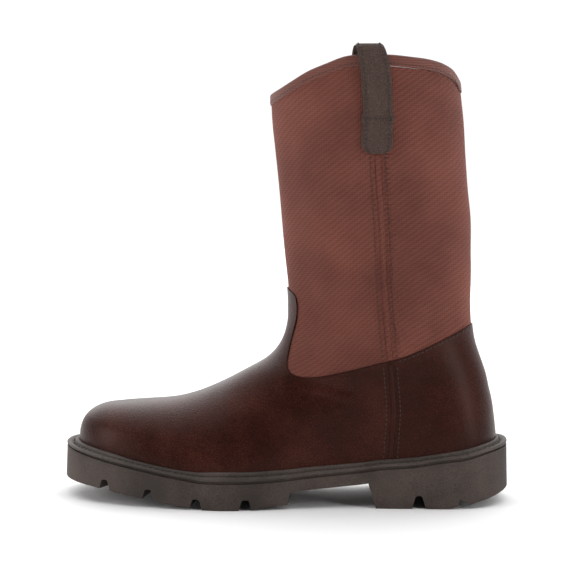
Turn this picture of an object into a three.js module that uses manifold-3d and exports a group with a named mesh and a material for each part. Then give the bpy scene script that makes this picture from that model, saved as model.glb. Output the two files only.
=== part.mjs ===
// Western work boot, pull-on, left foot. Millimetres, +Z up.
// The toe points along -X and the outer side of the foot faces -Y. The boot stands on z = 0.
// One function gives the outside of the last from its side profile, its plan and its level
// sections. The leather foot, the woven shaft, the binding and the seams are cut from it.
import * as THREE from 'three';
import { mergeVertices } from 'three/addons/utils/BufferGeometryUtils.js';
import Module from 'manifold-3d';

const wasm = await Module();
wasm.setup();

// Sole
const SOLE_LENGTH = 319;
const BALL_WIDTH = 118;
const BALL_EDGE = 19.6; // floor to the groove under the welt, at the ball
const HEEL_HEIGHT = 30.2; // floor to the groove under the welt, at the heel's front
const ARCH_EDGE = 9.4; // thickness of the sole's edge at the arch
const TOE_SPRING = 13;
const LUG_DEPTH = 7; // notches across the forefoot
const NOTCH_MOUTH = 9.6;
const NOTCH_ROOT = 5.8;
const HEEL_LUG_DEPTH = 9.2;
const HEEL_NOTCH_MOUTH = 10.7;
const HEEL_NOTCH_ROOT = 5.6;
const WEDGE_LENGTH = 16; // the last, wedge-shaped notch of the heel
const WEDGE_DEPTH = 6.8;
const CHANNEL_WIDTH = 7;
const CHANNEL_DEPTH = 4;
const GROOVE_DEPTH = 1.8;
const GROOVE_HEIGHT = 1.4; // it thins out at the toe and the heel
const HEEL_BEVEL_LENGTH = 61;
const HEEL_BEVEL_RISE = 10.8;
const SIDE_LEAN = 0.6; // how far the sole's side leans in from bottom to top
const END_LEAN = 0.8; // the same at the toe and at the heel

// Welt and insole
const WELT_REACH = 6.5; // how far the welt stands out past the upper at the side
const WELT_END_REACH = 9.5; // the same at the toe and at the heel
const WELT_HEIGHT = 7;
const INSOLE_THICKNESS = 6;

// Upper and shaft
const BOOT_HEIGHT = 309.2; // floor to the collar's highest point
const INSTEP_HEIGHT = 104.2; // floor to the throat, where vamp and shaft front meet
const SHAFT_WIDTH = 106;
const UPPER_WALL = 2.2;
const SHAFT_WALL = 1.8;
const LEATHER_STEP = 1; // the leather stands this much proud of the woven shaft
const BINDING_HEIGHT = 7.5;
const BINDING_STEP = 0.8; // the tape is this much thicker than the shaft on each face

// Seams and pull straps
const PIPING_WIDTH = 4;
const PIPING_HEIGHT = 1.2;
const SEAM_GAP = 1.5; // between the seam's pieces and what they run up to
const STRAP_WIDTH = 20;
const STRAP_THICKNESS = 2.2;
const STRAP_RISE = 7.2; // the loop's top above the collar

const CLEARANCE = 0.3; // between pieces that meet
const SIDE_COLUMNS = 12; // facets from the bottom of a section to its ridge, on one side
const SOLE_STATIONS = 30; // facets from toe to heel

// Heights of the sole's edge along its length. Each height is a sum of shares of four named sizes.
const EDGE = [
  { at: 0.0, ball: 1.168, spring: 1.0, heel: 0.0, welt: 0.6 },
  { at: 0.1, ball: 1.071, spring: 0.815, heel: 0.0, welt: 0.62 },
  { at: 0.2, ball: 1.026, spring: 0.492, heel: 0.0, welt: 0.5 },
  { at: 0.25, ball: 1.0, spring: 0.315, heel: 0.0, welt: 0.52 },
  { at: 0.3, ball: 1.0, spring: 0.13, heel: 0.0, welt: 0.58 },
  { at: 0.34, ball: 1.0, spring: 0.0, heel: 0.0, welt: 0.75 },
  { at: 0.4, ball: 1.0, spring: 0.0, heel: 0.0, welt: 0.84 },
  { at: 0.45, ball: 0.856, spring: 0.069, heel: 0.07, welt: 0.82 },
  { at: 0.5, ball: 0.56, spring: 0.223, heel: 0.225, welt: 0.8 },
  { at: 0.56, ball: 0.3, spring: 0.246, heel: 0.44, welt: 0.75 },
  { at: 0.62, ball: 0.13, spring: 0.154, heel: 0.65, welt: 0.7 },
  { at: 0.7, ball: 0.012, spring: 0.0, heel: 0.89, welt: 0.66 },
  { at: 0.8, ball: 0.0, spring: 0.0, heel: 1.0, welt: 0.66 },
  { at: 0.85, ball: 0.0, spring: 0.0, heel: 1.092, welt: 0.62 },
  { at: 0.9, ball: 0.0, spring: 0.0, heel: 1.155, welt: 0.68 },
  { at: 0.95, ball: 0.0, spring: 0.0, heel: 1.265, welt: 0.68 },
  { at: 1.0, ball: 0.0, spring: 0.0, heel: 1.334, welt: 0.84 },
];

// Plan of the sole: shares of the ball width. The centre line swings to the inner side at the toe.
const PLAN = [
  { at: 0.0, centre: 0.055, half: 0.43 },
  { at: 0.12, centre: 0.034, half: 0.44 },
  { at: 0.2, centre: 0.015, half: 0.463 },
  { at: 0.28, centre: -0.002, half: 0.487 },
  { at: 0.36, centre: -0.023, half: 0.487 },
  { at: 0.42, centre: -0.04, half: 0.462 },
  { at: 0.5, centre: -0.053, half: 0.405 },
  { at: 0.58, centre: -0.049, half: 0.36 },
  { at: 0.66, centre: -0.032, half: 0.353 },
  { at: 0.75, centre: -0.016, half: 0.361 },
  { at: 0.85, centre: 0.0, half: 0.37 },
  { at: 1.0, centre: 0.0, half: 0.37 },
];
const TOE_ROUND = { reach: 0.2, power: 2.15 }; // share of the length that the toe's curve takes
const HEEL_ROUND = { reach: 0.155, power: 2.25 };

// Side profile. level runs from 0 at the bottom edge of the upper, through 1 at the throat,
// to 2 at the collar. along is a share of the sole's length, measured from its middle.
const FRONT = [
  { level: 0.0, along: -0.467 },
  { level: 0.132, along: -0.464 },
  { level: 0.229, along: -0.4565 },
  { level: 0.304, along: -0.4435 },
  { level: 0.368, along: -0.417 },
  { level: 0.4, along: -0.372 },
  { level: 0.423, along: -0.317 },
  { level: 0.456, along: -0.2495 },
  { level: 0.521, along: -0.1985 },
  { level: 0.629, along: -0.1445 },
  { level: 0.769, along: -0.0885 },
  { level: 0.9325, along: -0.0323 },
  { level: 1.034, along: -0.0034 },
  { level: 1.098, along: 0.0098 },
  { level: 1.17, along: 0.0115 },
  { level: 1.24, along: 0.0088 },
  { level: 1.351, along: 0.0012 },
  { level: 1.571, along: -0.0113 },
  { level: 1.795, along: -0.0258 },
  { level: 1.883, along: -0.0285 },
  { level: 2.0, along: -0.033 },
];
const BACK = [
  { level: 0.0, along: 0.4705 },
  { level: 0.132, along: 0.4705 },
  { level: 0.309, along: 0.4665 },
  { level: 0.502, along: 0.4608 },
  { level: 0.59, along: 0.456 },
  { level: 0.775, along: 0.4475 },
  { level: 0.952, along: 0.435 },
  { level: 1.044, along: 0.4225 },
  { level: 1.127, along: 0.4158 },
  { level: 1.29, along: 0.416 },
  { level: 1.4585, along: 0.4143 },
  { level: 1.571, along: 0.407 },
  { level: 1.683, along: 0.4015 },
  { level: 1.795, along: 0.397 },
  { level: 1.907, along: 0.389 },
  { level: 2.0, along: 0.3845 },
];

// Cross sections of the forefoot: how full the arch over the foot is, and how far its ridge
// lies to the inner side, as a share of the ball width.
const FOREFOOT = [
  { at: 0.0, full: 2.6, ridge: 0.0 },
  { at: 0.15, full: 2.5, ridge: 0.01 },
  { at: 0.3, full: 2.15, ridge: 0.03 },
  { at: 0.42, full: 1.95, ridge: 0.045 },
  { at: 0.55, full: 1.9, ridge: 0.05 },
];

// Level sections of ankle and shaft: half is a share of the shaft's width, the powers say how
// square the section's front and back are.
const LEVELS = [
  { level: 0.614, half: 0.345, front: 1.9, back: 2.3 },
  { level: 0.855, half: 0.355, front: 1.9, back: 2.2 },
  { level: 1.05, half: 0.378, front: 1.9, back: 2.1 },
  { level: 1.2, half: 0.41, front: 1.95, back: 2.05 },
  { level: 1.45, half: 0.465, front: 2.0, back: 2.05 },
  { level: 1.7, half: 0.495, front: 2.05, back: 2.05 },
  { level: 2.0, half: 0.5, front: 2.1, back: 2.1 },
];

// Collar seen from the side: how far it drops below its top, as a share of the boot's height.
const COLLAR = [
  { across: 0.0, drop: 0.075 },
  { across: 0.05, drop: 0.068 },
  { across: 0.12, drop: 0.054 },
  { across: 0.22, drop: 0.0325 },
  { across: 0.31, drop: 0.0185 },
  { across: 0.42, drop: 0.003 },
  { across: 0.52, drop: 0.0 },
  { across: 0.63, drop: 0.0 },
  { across: 0.75, drop: 0.0037 },
  { across: 0.85, drop: 0.008 },
  { across: 0.92, drop: 0.0157 },
  { across: 0.965, drop: 0.0268 },
  { across: 1.0, drop: 0.048 },
];

// Edge of the leather over the woven shaft, from the tab at the front to the back.
const LEATHER_EDGE = [
  { level: 1.222, along: 0.0075 },
  { level: 1.216, along: 0.0123 },
  { level: 1.2, along: 0.0265 },
  { level: 1.18, along: 0.0315 },
  { level: 1.15, along: 0.0326 },
  { level: 1.125, along: 0.0313 },
  { level: 1.09, along: 0.0266 },
  { level: 1.05, along: 0.0198 },
  { level: 1.01, along: 0.0148 },
  { level: 0.929, along: 0.0117 },
  { level: 0.861, along: 0.0138 },
  { level: 0.813, along: 0.021 },
  { level: 0.781, along: 0.0345 },
  { level: 0.769, along: 0.055 },
  { level: 0.774, along: 0.08 },
  { level: 0.793, along: 0.105 },
  { level: 0.836, along: 0.143 },
  { level: 0.888, along: 0.1847 },
  { level: 0.93, along: 0.217 },
  { level: 0.966, along: 0.249 },
  { level: 1.005, along: 0.28 },
  { level: 1.057, along: 0.357 },
  { level: 1.1, along: 0.42 },
  { level: 1.107, along: 0.45 },
];
const TAB_SLOPE = 0.3; // slope at which that edge runs off the front

// Line of the side seam from the pull strap down to the welt.
const SEAM = [
  { level: 2.0, along: 0.2075 },
  { level: 1.66, along: 0.2105 },
  { level: 1.45, along: 0.2195 },
  { level: 1.22, along: 0.2262 },
  { level: 1.04, along: 0.235 },
  { level: 0.711, along: 0.243 },
  { level: 0.441, along: 0.2468 },
  { level: 0.132, along: 0.2437 },
  { level: -0.25, along: 0.238 },
];

// Pull strap from its tab on the outside, over the collar, to its end inside. up is measured
// from the collar, out from the shaft's outside to the strap's middle and aside from the seam
// toward the heel, all in shares of the strap's rise. width is a share of the strap's width.
const STRAP = [
  { up: -9.2, out: 0.21, aside: 0.08, width: 0.35 },
  { up: -9.05, out: 0.21, aside: 0.08, width: 0.75 },
  { up: -8.65, out: 0.21, aside: 0.08, width: 1.0 },
  { up: -7.8, out: 0.21, aside: 0.08, width: 1.06 },
  { up: -6.4, out: 0.21, aside: 0.12, width: 1.0 },
  { up: -5.4, out: 0.27, aside: 0.14, width: 1.0 },
  { up: -4.0, out: 0.5, aside: 0.08, width: 1.0 },
  { up: -2.3, out: 0.72, aside: -0.02, width: 1.0 },
  { up: -1.0, out: 0.78, aside: -0.17, width: 1.0 },
  { up: 0.3, out: 0.74, aside: -0.48, width: 0.96 },
  { up: 0.76, out: 0.42, aside: -0.66, width: 0.94 },
  { up: 0.86, out: -0.1, aside: -0.75, width: 0.94 },
  { up: 0.76, out: -0.62, aside: -0.88, width: 0.94 },
  { up: 0.3, out: -0.92, aside: -0.97, width: 0.96 },
  { up: -1.2, out: -0.92, aside: -1.0, width: 1.0 },
  { up: -3.5, out: -0.74, aside: -0.8, width: 1.0 },
  { up: -6.2, out: -0.54, aside: -0.6, width: 1.0 },
  { up: -8.2, out: -0.54, aside: -0.5, width: 1.0 },
];

// Smooth curve through one column of a table, by the row's place. It never swings past a row,
// and it is level between rows that are equal.
function column(rows, place, value) {
  const steps = rows.slice(1).map((row, i) => (row[value] - rows[i][value]) / (row[place] - rows[i][place]));
  const slopes = rows.map((row, i) => {
    const before = steps[Math.max(i - 1, 0)];
    const after = steps[Math.min(i, steps.length - 1)];
    if (before * after <= 0) return 0;
    const limit = 3 * Math.min(Math.abs(before), Math.abs(after));
    return THREE.MathUtils.clamp((before + after) / 2, -limit, limit);
  });
  return (t) => {
    let i = 0;
    while (i < rows.length - 2 && t > rows[i + 1][place]) i += 1;
    const a = rows[i];
    const b = rows[i + 1];
    const run = b[place] - a[place];
    const s = THREE.MathUtils.clamp((t - a[place]) / run, 0, 1);
    const rise = b[value] - a[value];
    const bend = (1 - s) * (slopes[i] * run - rise) - s * (slopes[i + 1] * run - rise);
    return a[value] + s * rise + s * (1 - s) * bend;
  };
}

// Straight interpolation on rising keys.
function lookup(keys, values, key) {
  let i = 0;
  while (i < keys.length - 2 && key > keys[i + 1]) i += 1;
  const s = THREE.MathUtils.clamp((key - keys[i]) / (keys[i + 1] - keys[i]), 0, 1);
  return values[i] + s * (values[i + 1] - values[i]);
}

const mix = THREE.MathUtils.lerp;
const smooth = (t) => THREE.MathUtils.smoothstep(t, 0, 1);
const round = (c, power) => (1 - Math.min(Math.max(c, 0), 1) ** power) ** (1 / power);

// Edge of the sole
const edgeBall = column(EDGE, 'at', 'ball');
const edgeSpring = column(EDGE, 'at', 'spring');
const edgeHeel = column(EDGE, 'at', 'heel');
const edgeWelt = column(EDGE, 'at', 'welt');
const planCentre = column(PLAN, 'at', 'centre');
const planHalf = column(PLAN, 'at', 'half');

const share = (x) => x / SOLE_LENGTH + 0.5;
const underside = (x) => edgeSpring(share(x)) * TOE_SPRING;
const soleTop = (x) => {
  const at = share(x);
  return edgeBall(at) * BALL_EDGE + underside(x) + edgeHeel(at) * HEEL_HEIGHT;
};
const weltRise = (x) => edgeWelt(share(x)) * WELT_HEIGHT;
const BEAD_LAP = 2.5; // how far the welt's inner bead laps up over the upper's bottom edge
const feather = (x) => soleTop(x) + weltRise(x) - BEAD_LAP + 2 * CLEARANCE;

// One outline of the plan, drawn in from the sole's edge by side at the sides and by end at
// the toe and heel. Gives the centre line and the half width at a share of its own length.
function outline(at, side, end) {
  const toe = round(1 - at / TOE_ROUND.reach, TOE_ROUND.power);
  const heel = round(1 - (1 - at) / HEEL_ROUND.reach, HEEL_ROUND.power);
  return {
    x: (at - 0.5) * (SOLE_LENGTH - 2 * end),
    centre: planCentre(at) * BALL_WIDTH,
    half: (planHalf(at) * BALL_WIDTH - side) * toe * heel,
  };
}

// The side profile as fine polylines
const TOE_FEATHER = feather(-SOLE_LENGTH / 2);
const height = (level) => (level < 1
  ? mix(TOE_FEATHER, INSTEP_HEIGHT, level)
  : mix(INSTEP_HEIGHT, BOOT_HEIGHT, level - 1));

function profile(rows) {
  const points = rows.map((r) => new THREE.Vector3(r.along * SOLE_LENGTH, 0, height(r.level)));
  return new THREE.CatmullRomCurve3(points, false, 'centripetal').getPoints(12 * rows.length);
}

const frontLine = profile(FRONT);
const backLine = profile(BACK);
const seamLine = profile([...SEAM].reverse());
const frontX = (z) => lookup(frontLine.map((p) => p.z), frontLine.map((p) => p.x), z);
const backX = (z) => lookup(backLine.map((p) => p.z), backLine.map((p) => p.x), z);
const seamX = (z) => lookup(seamLine.map((p) => p.z), seamLine.map((p) => p.x), z);
const rising = frontLine.filter((p, i) => i === 0 || p.x > Math.max(...frontLine.slice(0, i).map((q) => q.x)));
const ridgeZ = (x) => lookup(rising.map((p) => p.x), rising.map((p) => p.z), x);

const TOE_X = frontLine[0].x;
const HEEL_X = backLine[0].x;
const UPPER_SIDE = WELT_REACH + LEATHER_STEP;
const UPPER_END = WELT_END_REACH + LEATHER_STEP;
const MIDDLE_X = 0.18 * SOLE_LENGTH; // where shaft and heel sections are widest
const ANKLE_TOP = 1.12 * INSTEP_HEIGHT; // where the foot's plan has faded out of the level sections

const forefootFull = column(FOREFOOT, 'at', 'full');
const forefootRidge = column(FOREFOOT, 'at', 'ridge');
const levelRows = LEVELS.map((row) => ({ ...row, z: height(row.level) }));
const levelHalf = column(levelRows, 'z', 'half');
const levelFront = column(levelRows, 'z', 'front');
const levelBack = column(levelRows, 'z', 'back');

// Plan of the last at its bottom edge, at a distance x along the boot
function footPlan(x) {
  return outline((x - TOE_X) / (HEEL_X - TOE_X), UPPER_SIDE, UPPER_END);
}

// Forefoot: arches over the foot in upright sections
function archSection(x, z) {
  const plan = footPlan(x);
  const at = (x - TOE_X) / (HEEL_X - TOE_X);
  const bottom = feather(x);
  const up = THREE.MathUtils.clamp((z - bottom) / Math.max(ridgeZ(x) - bottom, 1e-3), 0, 1);
  return {
    centre: plan.centre + forefootRidge(at) * BALL_WIDTH * up * up,
    half: plan.half * round(up, forefootFull(at)),
  };
}

// Heel, ankle and shaft: level sections that grow out of the plan of the heel
function levelSection(x, z) {
  const back = backX(z);
  const front = frontX(z);
  const behind = x > MIDDLE_X;
  const out = behind ? (x - MIDDLE_X) / (back - MIDDLE_X) : (MIDDLE_X - x) / (MIDDLE_X - front);
  const power = behind ? levelBack(z) : levelFront(z);
  const half = levelHalf(z) * SHAFT_WIDTH * round(out, power);
  const plan = footPlan(behind ? mix(MIDDLE_X, HEEL_X, out) : x);
  const up = smooth((z - feather(x)) / (ANKLE_TOP - feather(x)));
  return { centre: mix(plan.centre, 0, up), half: mix(plan.half, half, up) };
}

// Outside of the last: the centre line and half width at x, z of the side view. The forefoot
// turns into the shaft between two angles seen from a pivot in the heel.
const PIVOT = { x: MIDDLE_X, z: 0.28 * INSTEP_HEIGHT };
const FOREFOOT_ANGLE = 18;
const SHAFT_ANGLE = 52;
function last(x, z) {
  const angle = THREE.MathUtils.radToDeg(Math.atan2(z - PIVOT.z, PIVOT.x - x));
  const level = x < PIVOT.x ? smooth((angle - FOREFOOT_ANGLE) / (SHAFT_ANGLE - FOREFOOT_ANGLE)) : 1;
  if (level === 0) return archSection(x, z);
  const shaft = levelSection(x, z);
  if (level === 1) return shaft;
  const arch = archSection(x, z);
  return { centre: mix(arch.centre, shaft.centre, level), half: mix(arch.half, shaft.half, level) };
}

const collarDrop = column(COLLAR, 'across', 'drop');
function collarZ(x) {
  const front = frontX(BOOT_HEIGHT);
  const across = (x - front) / (backX(BOOT_HEIGHT) - front);
  return BOOT_HEIGHT * (1 - collarDrop(THREE.MathUtils.clamp(across, 0, 1)));
}

// Section planes. Each row has its lowest point on the bottom edge or the back, and its top
// point on the ridge, given by their places on the two lines.
const SHAFT_START = mix(INSTEP_HEIGHT, BOOT_HEIGHT, 0.36);

function sectionRows() {
  const rows = [];
  const straight = 0.34; // share of the upper's length with upright sections
  const upright = 13;
  for (let i = 0; i <= upright; i += 1) {
    const at = straight * (i / upright) ** 1.5;
    const x = mix(TOE_X, HEEL_X, at);
    rows.push({ base: [x, feather(x)], top: [x, i === 0 ? feather(x) : ridgeZ(x)], closed: 0 });
  }
  const turning = 11;
  const topFrom = ridgeZ(mix(TOE_X, HEEL_X, straight));
  const topTo = mix(INSTEP_HEIGHT, BOOT_HEIGHT, 0.22);
  for (let i = 1; i <= turning; i += 1) {
    const at = i / turning;
    const x = mix(mix(TOE_X, HEEL_X, straight), HEEL_X, 1 - (1 - at) ** 1.35);
    const z = mix(topFrom, topTo, at ** 0.9);
    rows.push({ base: [x, feather(x)], top: [frontX(z), z], closed: smooth(at) });
  }
  const climbing = 7;
  for (let i = 1; i <= climbing; i += 1) {
    const at = i / climbing;
    const zBack = mix(feather(HEEL_X), SHAFT_START, at);
    const zFront = mix(topTo, SHAFT_START, at);
    rows.push({ base: [backX(zBack), zBack], top: [frontX(zFront), zFront], closed: 1 });
  }
  return { rows, closesAt: upright + turning };
}

// Grid of points x, z, side on the last, one list for each section
function lastGrid() {
  const { rows, closesAt } = sectionRows();
  const grid = rows.map(({ base, top, closed }) => sides((j) => {
    const a = (j / SIDE_COLUMNS) * Math.PI;
    const s = mix(Math.sin(a / 2), (1 - Math.cos(a)) / 2, closed);
    return [mix(base[0], top[0], s), mix(base[1], top[1], s)];
  }));
  const levels = 8;
  for (let i = 1; i <= levels; i += 1) {
    grid.push(sides((j) => {
      const s = (1 - Math.cos((j / SIDE_COLUMNS) * Math.PI)) / 2;
      const collarX = mix(backX(BOOT_HEIGHT), frontX(BOOT_HEIGHT), s);
      const z = mix(SHAFT_START, collarZ(collarX), i / levels);
      return [mix(backX(z), frontX(z), s), z];
    }));
  }
  grid[0] = grid[0].map((p) => p.clone().setY(footPlan(TOE_X).centre));
  for (const row of grid.slice(closesAt)) row[row.length - 1] = row[0].clone();
  return { grid, closesAt };
}

// The outer side from bottom to ridge, then the inner side back down
function sides(place) {
  const points = [];
  for (let j = 0; j <= 2 * SIDE_COLUMNS; j += 1) {
    const [x, z] = place(Math.min(j, 2 * SIDE_COLUMNS - j));
    const { centre, half } = last(x, z);
    points.push(new THREE.Vector3(x, centre + Math.sign(j - SIDE_COLUMNS) * half, z));
  }
  return points;
}

function meshOf(points, triangles) {
  const geometry = new THREE.BufferGeometry();
  geometry.setAttribute('position', new THREE.Float32BufferAttribute(points.flatMap((p) => p.toArray()), 3));
  geometry.setIndex(triangles.flat());
  return geometry;
}

// A closed mesh as a solid: shared vertices merged, collapsed faces dropped, faces outwards
function solid(geometry) {
  const bare = geometry.clone();
  bare.deleteAttribute('normal');
  bare.deleteAttribute('uv');
  const merged = mergeVertices(bare, 1e-4);
  const index = merged.index.array;
  const position = merged.attributes.position.array;
  const triangles = [];
  let volume = 0;
  const corner = (i) => new THREE.Vector3().fromArray(position, 3 * index[i]);
  for (let i = 0; i < index.length; i += 3) {
    if (new Set([index[i], index[i + 1], index[i + 2]]).size < 3) continue;
    triangles.push([index[i], index[i + 1], index[i + 2]]);
    volume += corner(i).dot(corner(i + 1).cross(corner(i + 2)));
  }
  if (volume < 0) triangles.forEach((t) => t.reverse());
  return new wasm.Manifold(new wasm.Mesh({
    numProp: 3,
    vertProperties: new Float32Array(position),
    triVerts: Uint32Array.from(triangles.flat()),
  }));
}

function geometryOf(manifold) {
  const mesh = manifold.getMesh();
  const geometry = new THREE.BufferGeometry();
  geometry.setAttribute('position', new THREE.Float32BufferAttribute(mesh.vertProperties, 3));
  geometry.setIndex(Array.from(mesh.triVerts));
  return geometry;
}

const LAST = lastGrid();
const ROW = 2 * SIDE_COLUMNS + 1;
const FIRST_CLOSED = LAST.closesAt;
const LAST_ROW = LAST.grid.length - 1;

// Outward direction at each grid point, level along the bottom edge and the collar. Points that
// coincide share the sum of the normals of all their faces.
function outward() {
  const points = LAST.grid.flat();
  const key = (p) => p.toArray().map((c) => Math.round(c * 100)).join();
  const sums = new Map(points.map((p) => [key(p), new THREE.Vector3()]));
  for (const [a, b, c] of stripTriangles(0, false)) {
    const face = points[b].clone().sub(points[a]).cross(points[c].clone().sub(points[a]));
    for (const i of [a, b, c]) sums.get(key(points[i])).add(face);
  }
  return points.map((p, i) => {
    const row = Math.floor(i / ROW);
    const place = i % ROW;
    const direction = sums.get(key(p)).clone();
    const onBottom = row <= FIRST_CLOSED && (place === 0 || place === ROW - 1);
    if (row === 0) direction.set(-1, 0, 0);
    else if (onBottom || row === LAST_ROW) direction.setZ(0);
    return direction.normalize();
  });
}

// Faces of the grid's sheet, whose points start at first
function stripTriangles(first, flipped) {
  const triangles = [];
  for (let k = 0; k < LAST_ROW; k += 1) {
    for (let j = 0; j < ROW - 1; j += 1) {
      const a = first + k * ROW + j;
      const quad = [[a, a + ROW, a + ROW + 1], [a, a + ROW + 1, a + 1]];
      triangles.push(...quad.map((t) => (flipped ? [...t].reverse() : t)));
    }
  }
  return triangles;
}

const OUTWARD = outward();
const offsetSheet = (distance) => LAST.grid.flat().map((p, i) => p.clone().addScaledVector(OUTWARD[i], distance));

// Wall between two offsets of the last, open underneath and at the collar
function wall(outer, inner) {
  const points = [...offsetSheet(outer), ...offsetSheet(inner)];
  const second = LAST.grid.length * ROW;
  const triangles = [...stripTriangles(0, false), ...stripTriangles(second, true)];
  const quad = (a, b) => triangles.push([a, a + second, b], [b, a + second, b + second]);
  for (let k = 0; k < FIRST_CLOSED; k += 1) {
    quad(k * ROW, (k + 1) * ROW);
    quad((k + 1) * ROW + ROW - 1, k * ROW + ROW - 1);
  }
  for (let j = 0; j < ROW - 1; j += 1) quad(LAST_ROW * ROW + j, LAST_ROW * ROW + j + 1);
  return solid(meshOf(points, triangles));
}

// The whole last as one filled form at an offset, carried down below its bottom edge by drop.
// It only cuts other pieces.
function filled(offset, drop) {
  const points = offsetSheet(offset);
  const triangles = stripTriangles(0, false);
  const quad = (a, b, c, d) => triangles.push([a, b, c], [a, c, d]);
  const lower = points.length;
  for (let k = 0; k <= FIRST_CLOSED; k += 1) {
    for (const place of [0, ROW - 1]) {
      const p = points[k * ROW + place].clone();
      points.push(p.setZ(p.z - drop));
    }
  }
  for (let k = 0; k < FIRST_CLOSED; k += 1) {
    const a = lower + 2 * k;
    quad(k * ROW, a, a + 2, (k + 1) * ROW);
    quad(a, a + 1, a + 3, a + 2);
    quad(a + 1, k * ROW + ROW - 1, (k + 1) * ROW + ROW - 1, a + 3);
  }
  const top = LAST_ROW * ROW;
  for (let j = 0; j < SIDE_COLUMNS; j += 1) {
    quad(top + j, top + ROW - 1 - j, top + ROW - 2 - j, top + j + 1);
  }
  return solid(meshOf(points, triangles));
}

// Straight bar across the boot whose outline is drawn in the side view
function barGeometry(points, from, to, steps) {
  const shape = new THREE.Shape(points.map(([x, z]) => new THREE.Vector2(x, z)));
  const geometry = new THREE.ExtrudeGeometry(shape, { depth: to - from, steps, bevelEnabled: false });
  geometry.rotateX(Math.PI / 2);
  geometry.translate(0, to, 0);
  return geometry;
}

const bar = (points, from, to) => solid(barGeometry(points, from, to, 1));

const REACH = SOLE_LENGTH; // far enough past the boot on every side

// The line of points moved sideways by distance, to its left
function shifted(line, distance) {
  return line.map(([x, z], i) => {
    const [ax, az] = line[Math.max(i - 1, 0)];
    const [bx, bz] = line[Math.min(i + 1, line.length - 1)];
    const run = Math.hypot(bx - ax, bz - az);
    return [x - ((bz - az) / run) * distance, z + ((bx - ax) / run) * distance];
  });
}

function leatherEdge() {
  const points = LEATHER_EDGE.map((r) => new THREE.Vector3(r.along * SOLE_LENGTH, 0, height(r.level)));
  const curve = new THREE.CatmullRomCurve3(points, false, 'centripetal');
  const line = curve.getPoints(42).map((p) => [p.x, p.z]);
  const [x, z] = line[0];
  const [endX, endZ] = line[line.length - 1];
  return [[x - REACH, z + TAB_SLOPE * REACH], ...line, [endX + REACH, endZ]];
}

function collarLine(drop) {
  const steps = 26;
  const front = frontX(BOOT_HEIGHT);
  const back = backX(BOOT_HEIGHT);
  const line = Array.from({ length: steps + 1 }, (_, i) => mix(front, back, i / steps));
  const curve = line.map((x) => [x, collarZ(x) - drop]);
  return [[front - REACH, curve[0][1]], ...curve, [back + REACH, curve[steps][1]]];
}

const below = (line) => [...line, [REACH, -REACH], [-REACH, -REACH]];
const above = (line) => [...line, [REACH, 3 * REACH], [-REACH, 3 * REACH]];

// The leather foot: vamp with its high front tab, and the part round the heel
function upper() {
  const leather = wall(LEATHER_STEP, LEATHER_STEP - UPPER_WALL);
  return leather.intersect(bar(below(leatherEdge()), -REACH, REACH));
}

// The woven leg between the leather's edge and the binding
function shaft() {
  const cloth = wall(0, -SHAFT_WALL);
  const underLeather = bar(below(shifted(leatherEdge(), CLEARANCE)), -REACH, REACH);
  const underBinding = bar(above(collarLine(BINDING_HEIGHT + CLEARANCE)), -REACH, REACH);
  return cloth.subtract(underLeather).subtract(underBinding);
}

// Tape folded over the shaft's top edge
function collarBinding() {
  const tape = wall(BINDING_STEP, -SHAFT_WALL - BINDING_STEP);
  return tape.intersect(bar(above(collarLine(BINDING_HEIGHT)), -REACH, REACH));
}

// Raised seam down one side, as a strip of a thin wall that lies on the one below it
function seamStrip(base, side, fromZ, toZ) {
  const steps = 10;
  const heights = Array.from({ length: steps + 1 }, (_, i) => mix(fromZ, toZ, i / steps));
  const front = heights.map((z) => [seamX(z) - PIPING_WIDTH / 2, z]);
  const back = heights.map((z) => [seamX(z) + PIPING_WIDTH / 2, z]);
  const strip = bar([...back, ...front.reverse()], Math.min(0, side * REACH), Math.max(0, side * REACH));
  return wall(base + CLEARANCE + PIPING_HEIGHT, base + CLEARANCE).intersect(strip);
}

// Height of the leather's edge where the side seam crosses it
function edgeAtSeam() {
  const line = leatherEdge().filter(([x]) => x > 0.1 * SOLE_LENGTH);
  const z = (x) => lookup(line.map((p) => p[0]), line.map((p) => p[1]), x);
  return z(seamX(INSTEP_HEIGHT));
}

// Leather loop over the collar, with its stitched tab outside and its end inside
function pullStrap(side) {
  const through = (value) => new THREE.CatmullRomCurve3(
    STRAP.map((r) => new THREE.Vector3(r.up, r.out, r[value])), false, 'centripetal').getPoints(29);
  const curve = through('width');
  const aside = through('aside');
  const across = 3;
  const points = [];
  const centre = curve.map((r) => new THREE.Vector2(r.y, r.x).multiplyScalar(STRAP_RISE));
  curve.forEach((r, i) => {
    const a = centre[Math.max(i - 1, 0)];
    const b = centre[Math.min(i + 1, curve.length - 1)];
    const normal = new THREE.Vector2(b.y - a.y, a.x - b.x).normalize();
    for (const face of [0.5, -0.5]) {
      const at = centre[i].clone().addScaledVector(normal, face * STRAP_THICKNESS);
      for (let w = 0; w <= across; w += 1) {
        const span = (face > 0 ? w : across - w) / across - 0.5;
        const z = collarZ(seamX(BOOT_HEIGHT)) + at.y;
        const x = seamX(BOOT_HEIGHT) + aside[i].z * STRAP_RISE + span * STRAP_WIDTH * r.z;
        const under = last(x, Math.min(z, collarZ(x)));
        points.push(new THREE.Vector3(x, under.centre + side * (under.half + at.x), z));
      }
    }
  });
  const ring = 2 * (across + 1);
  const triangles = [];
  for (let i = 0; i < curve.length - 1; i += 1) {
    for (let j = 0; j < ring; j += 1) {
      const a = i * ring + j;
      const b = i * ring + ((j + 1) % ring);
      triangles.push([a, b, b + ring], [a, b + ring, a + ring]);
    }
  }
  for (const [first, flip] of [[0, true], [(curve.length - 1) * ring, false]]) {
    for (let j = 1; j < ring - 1; j += 1) {
      const face = [first, first + j, first + j + 1];
      triangles.push(flip ? face.reverse() : face);
    }
  }
  return solid(meshOf(points, triangles));
}

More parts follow.
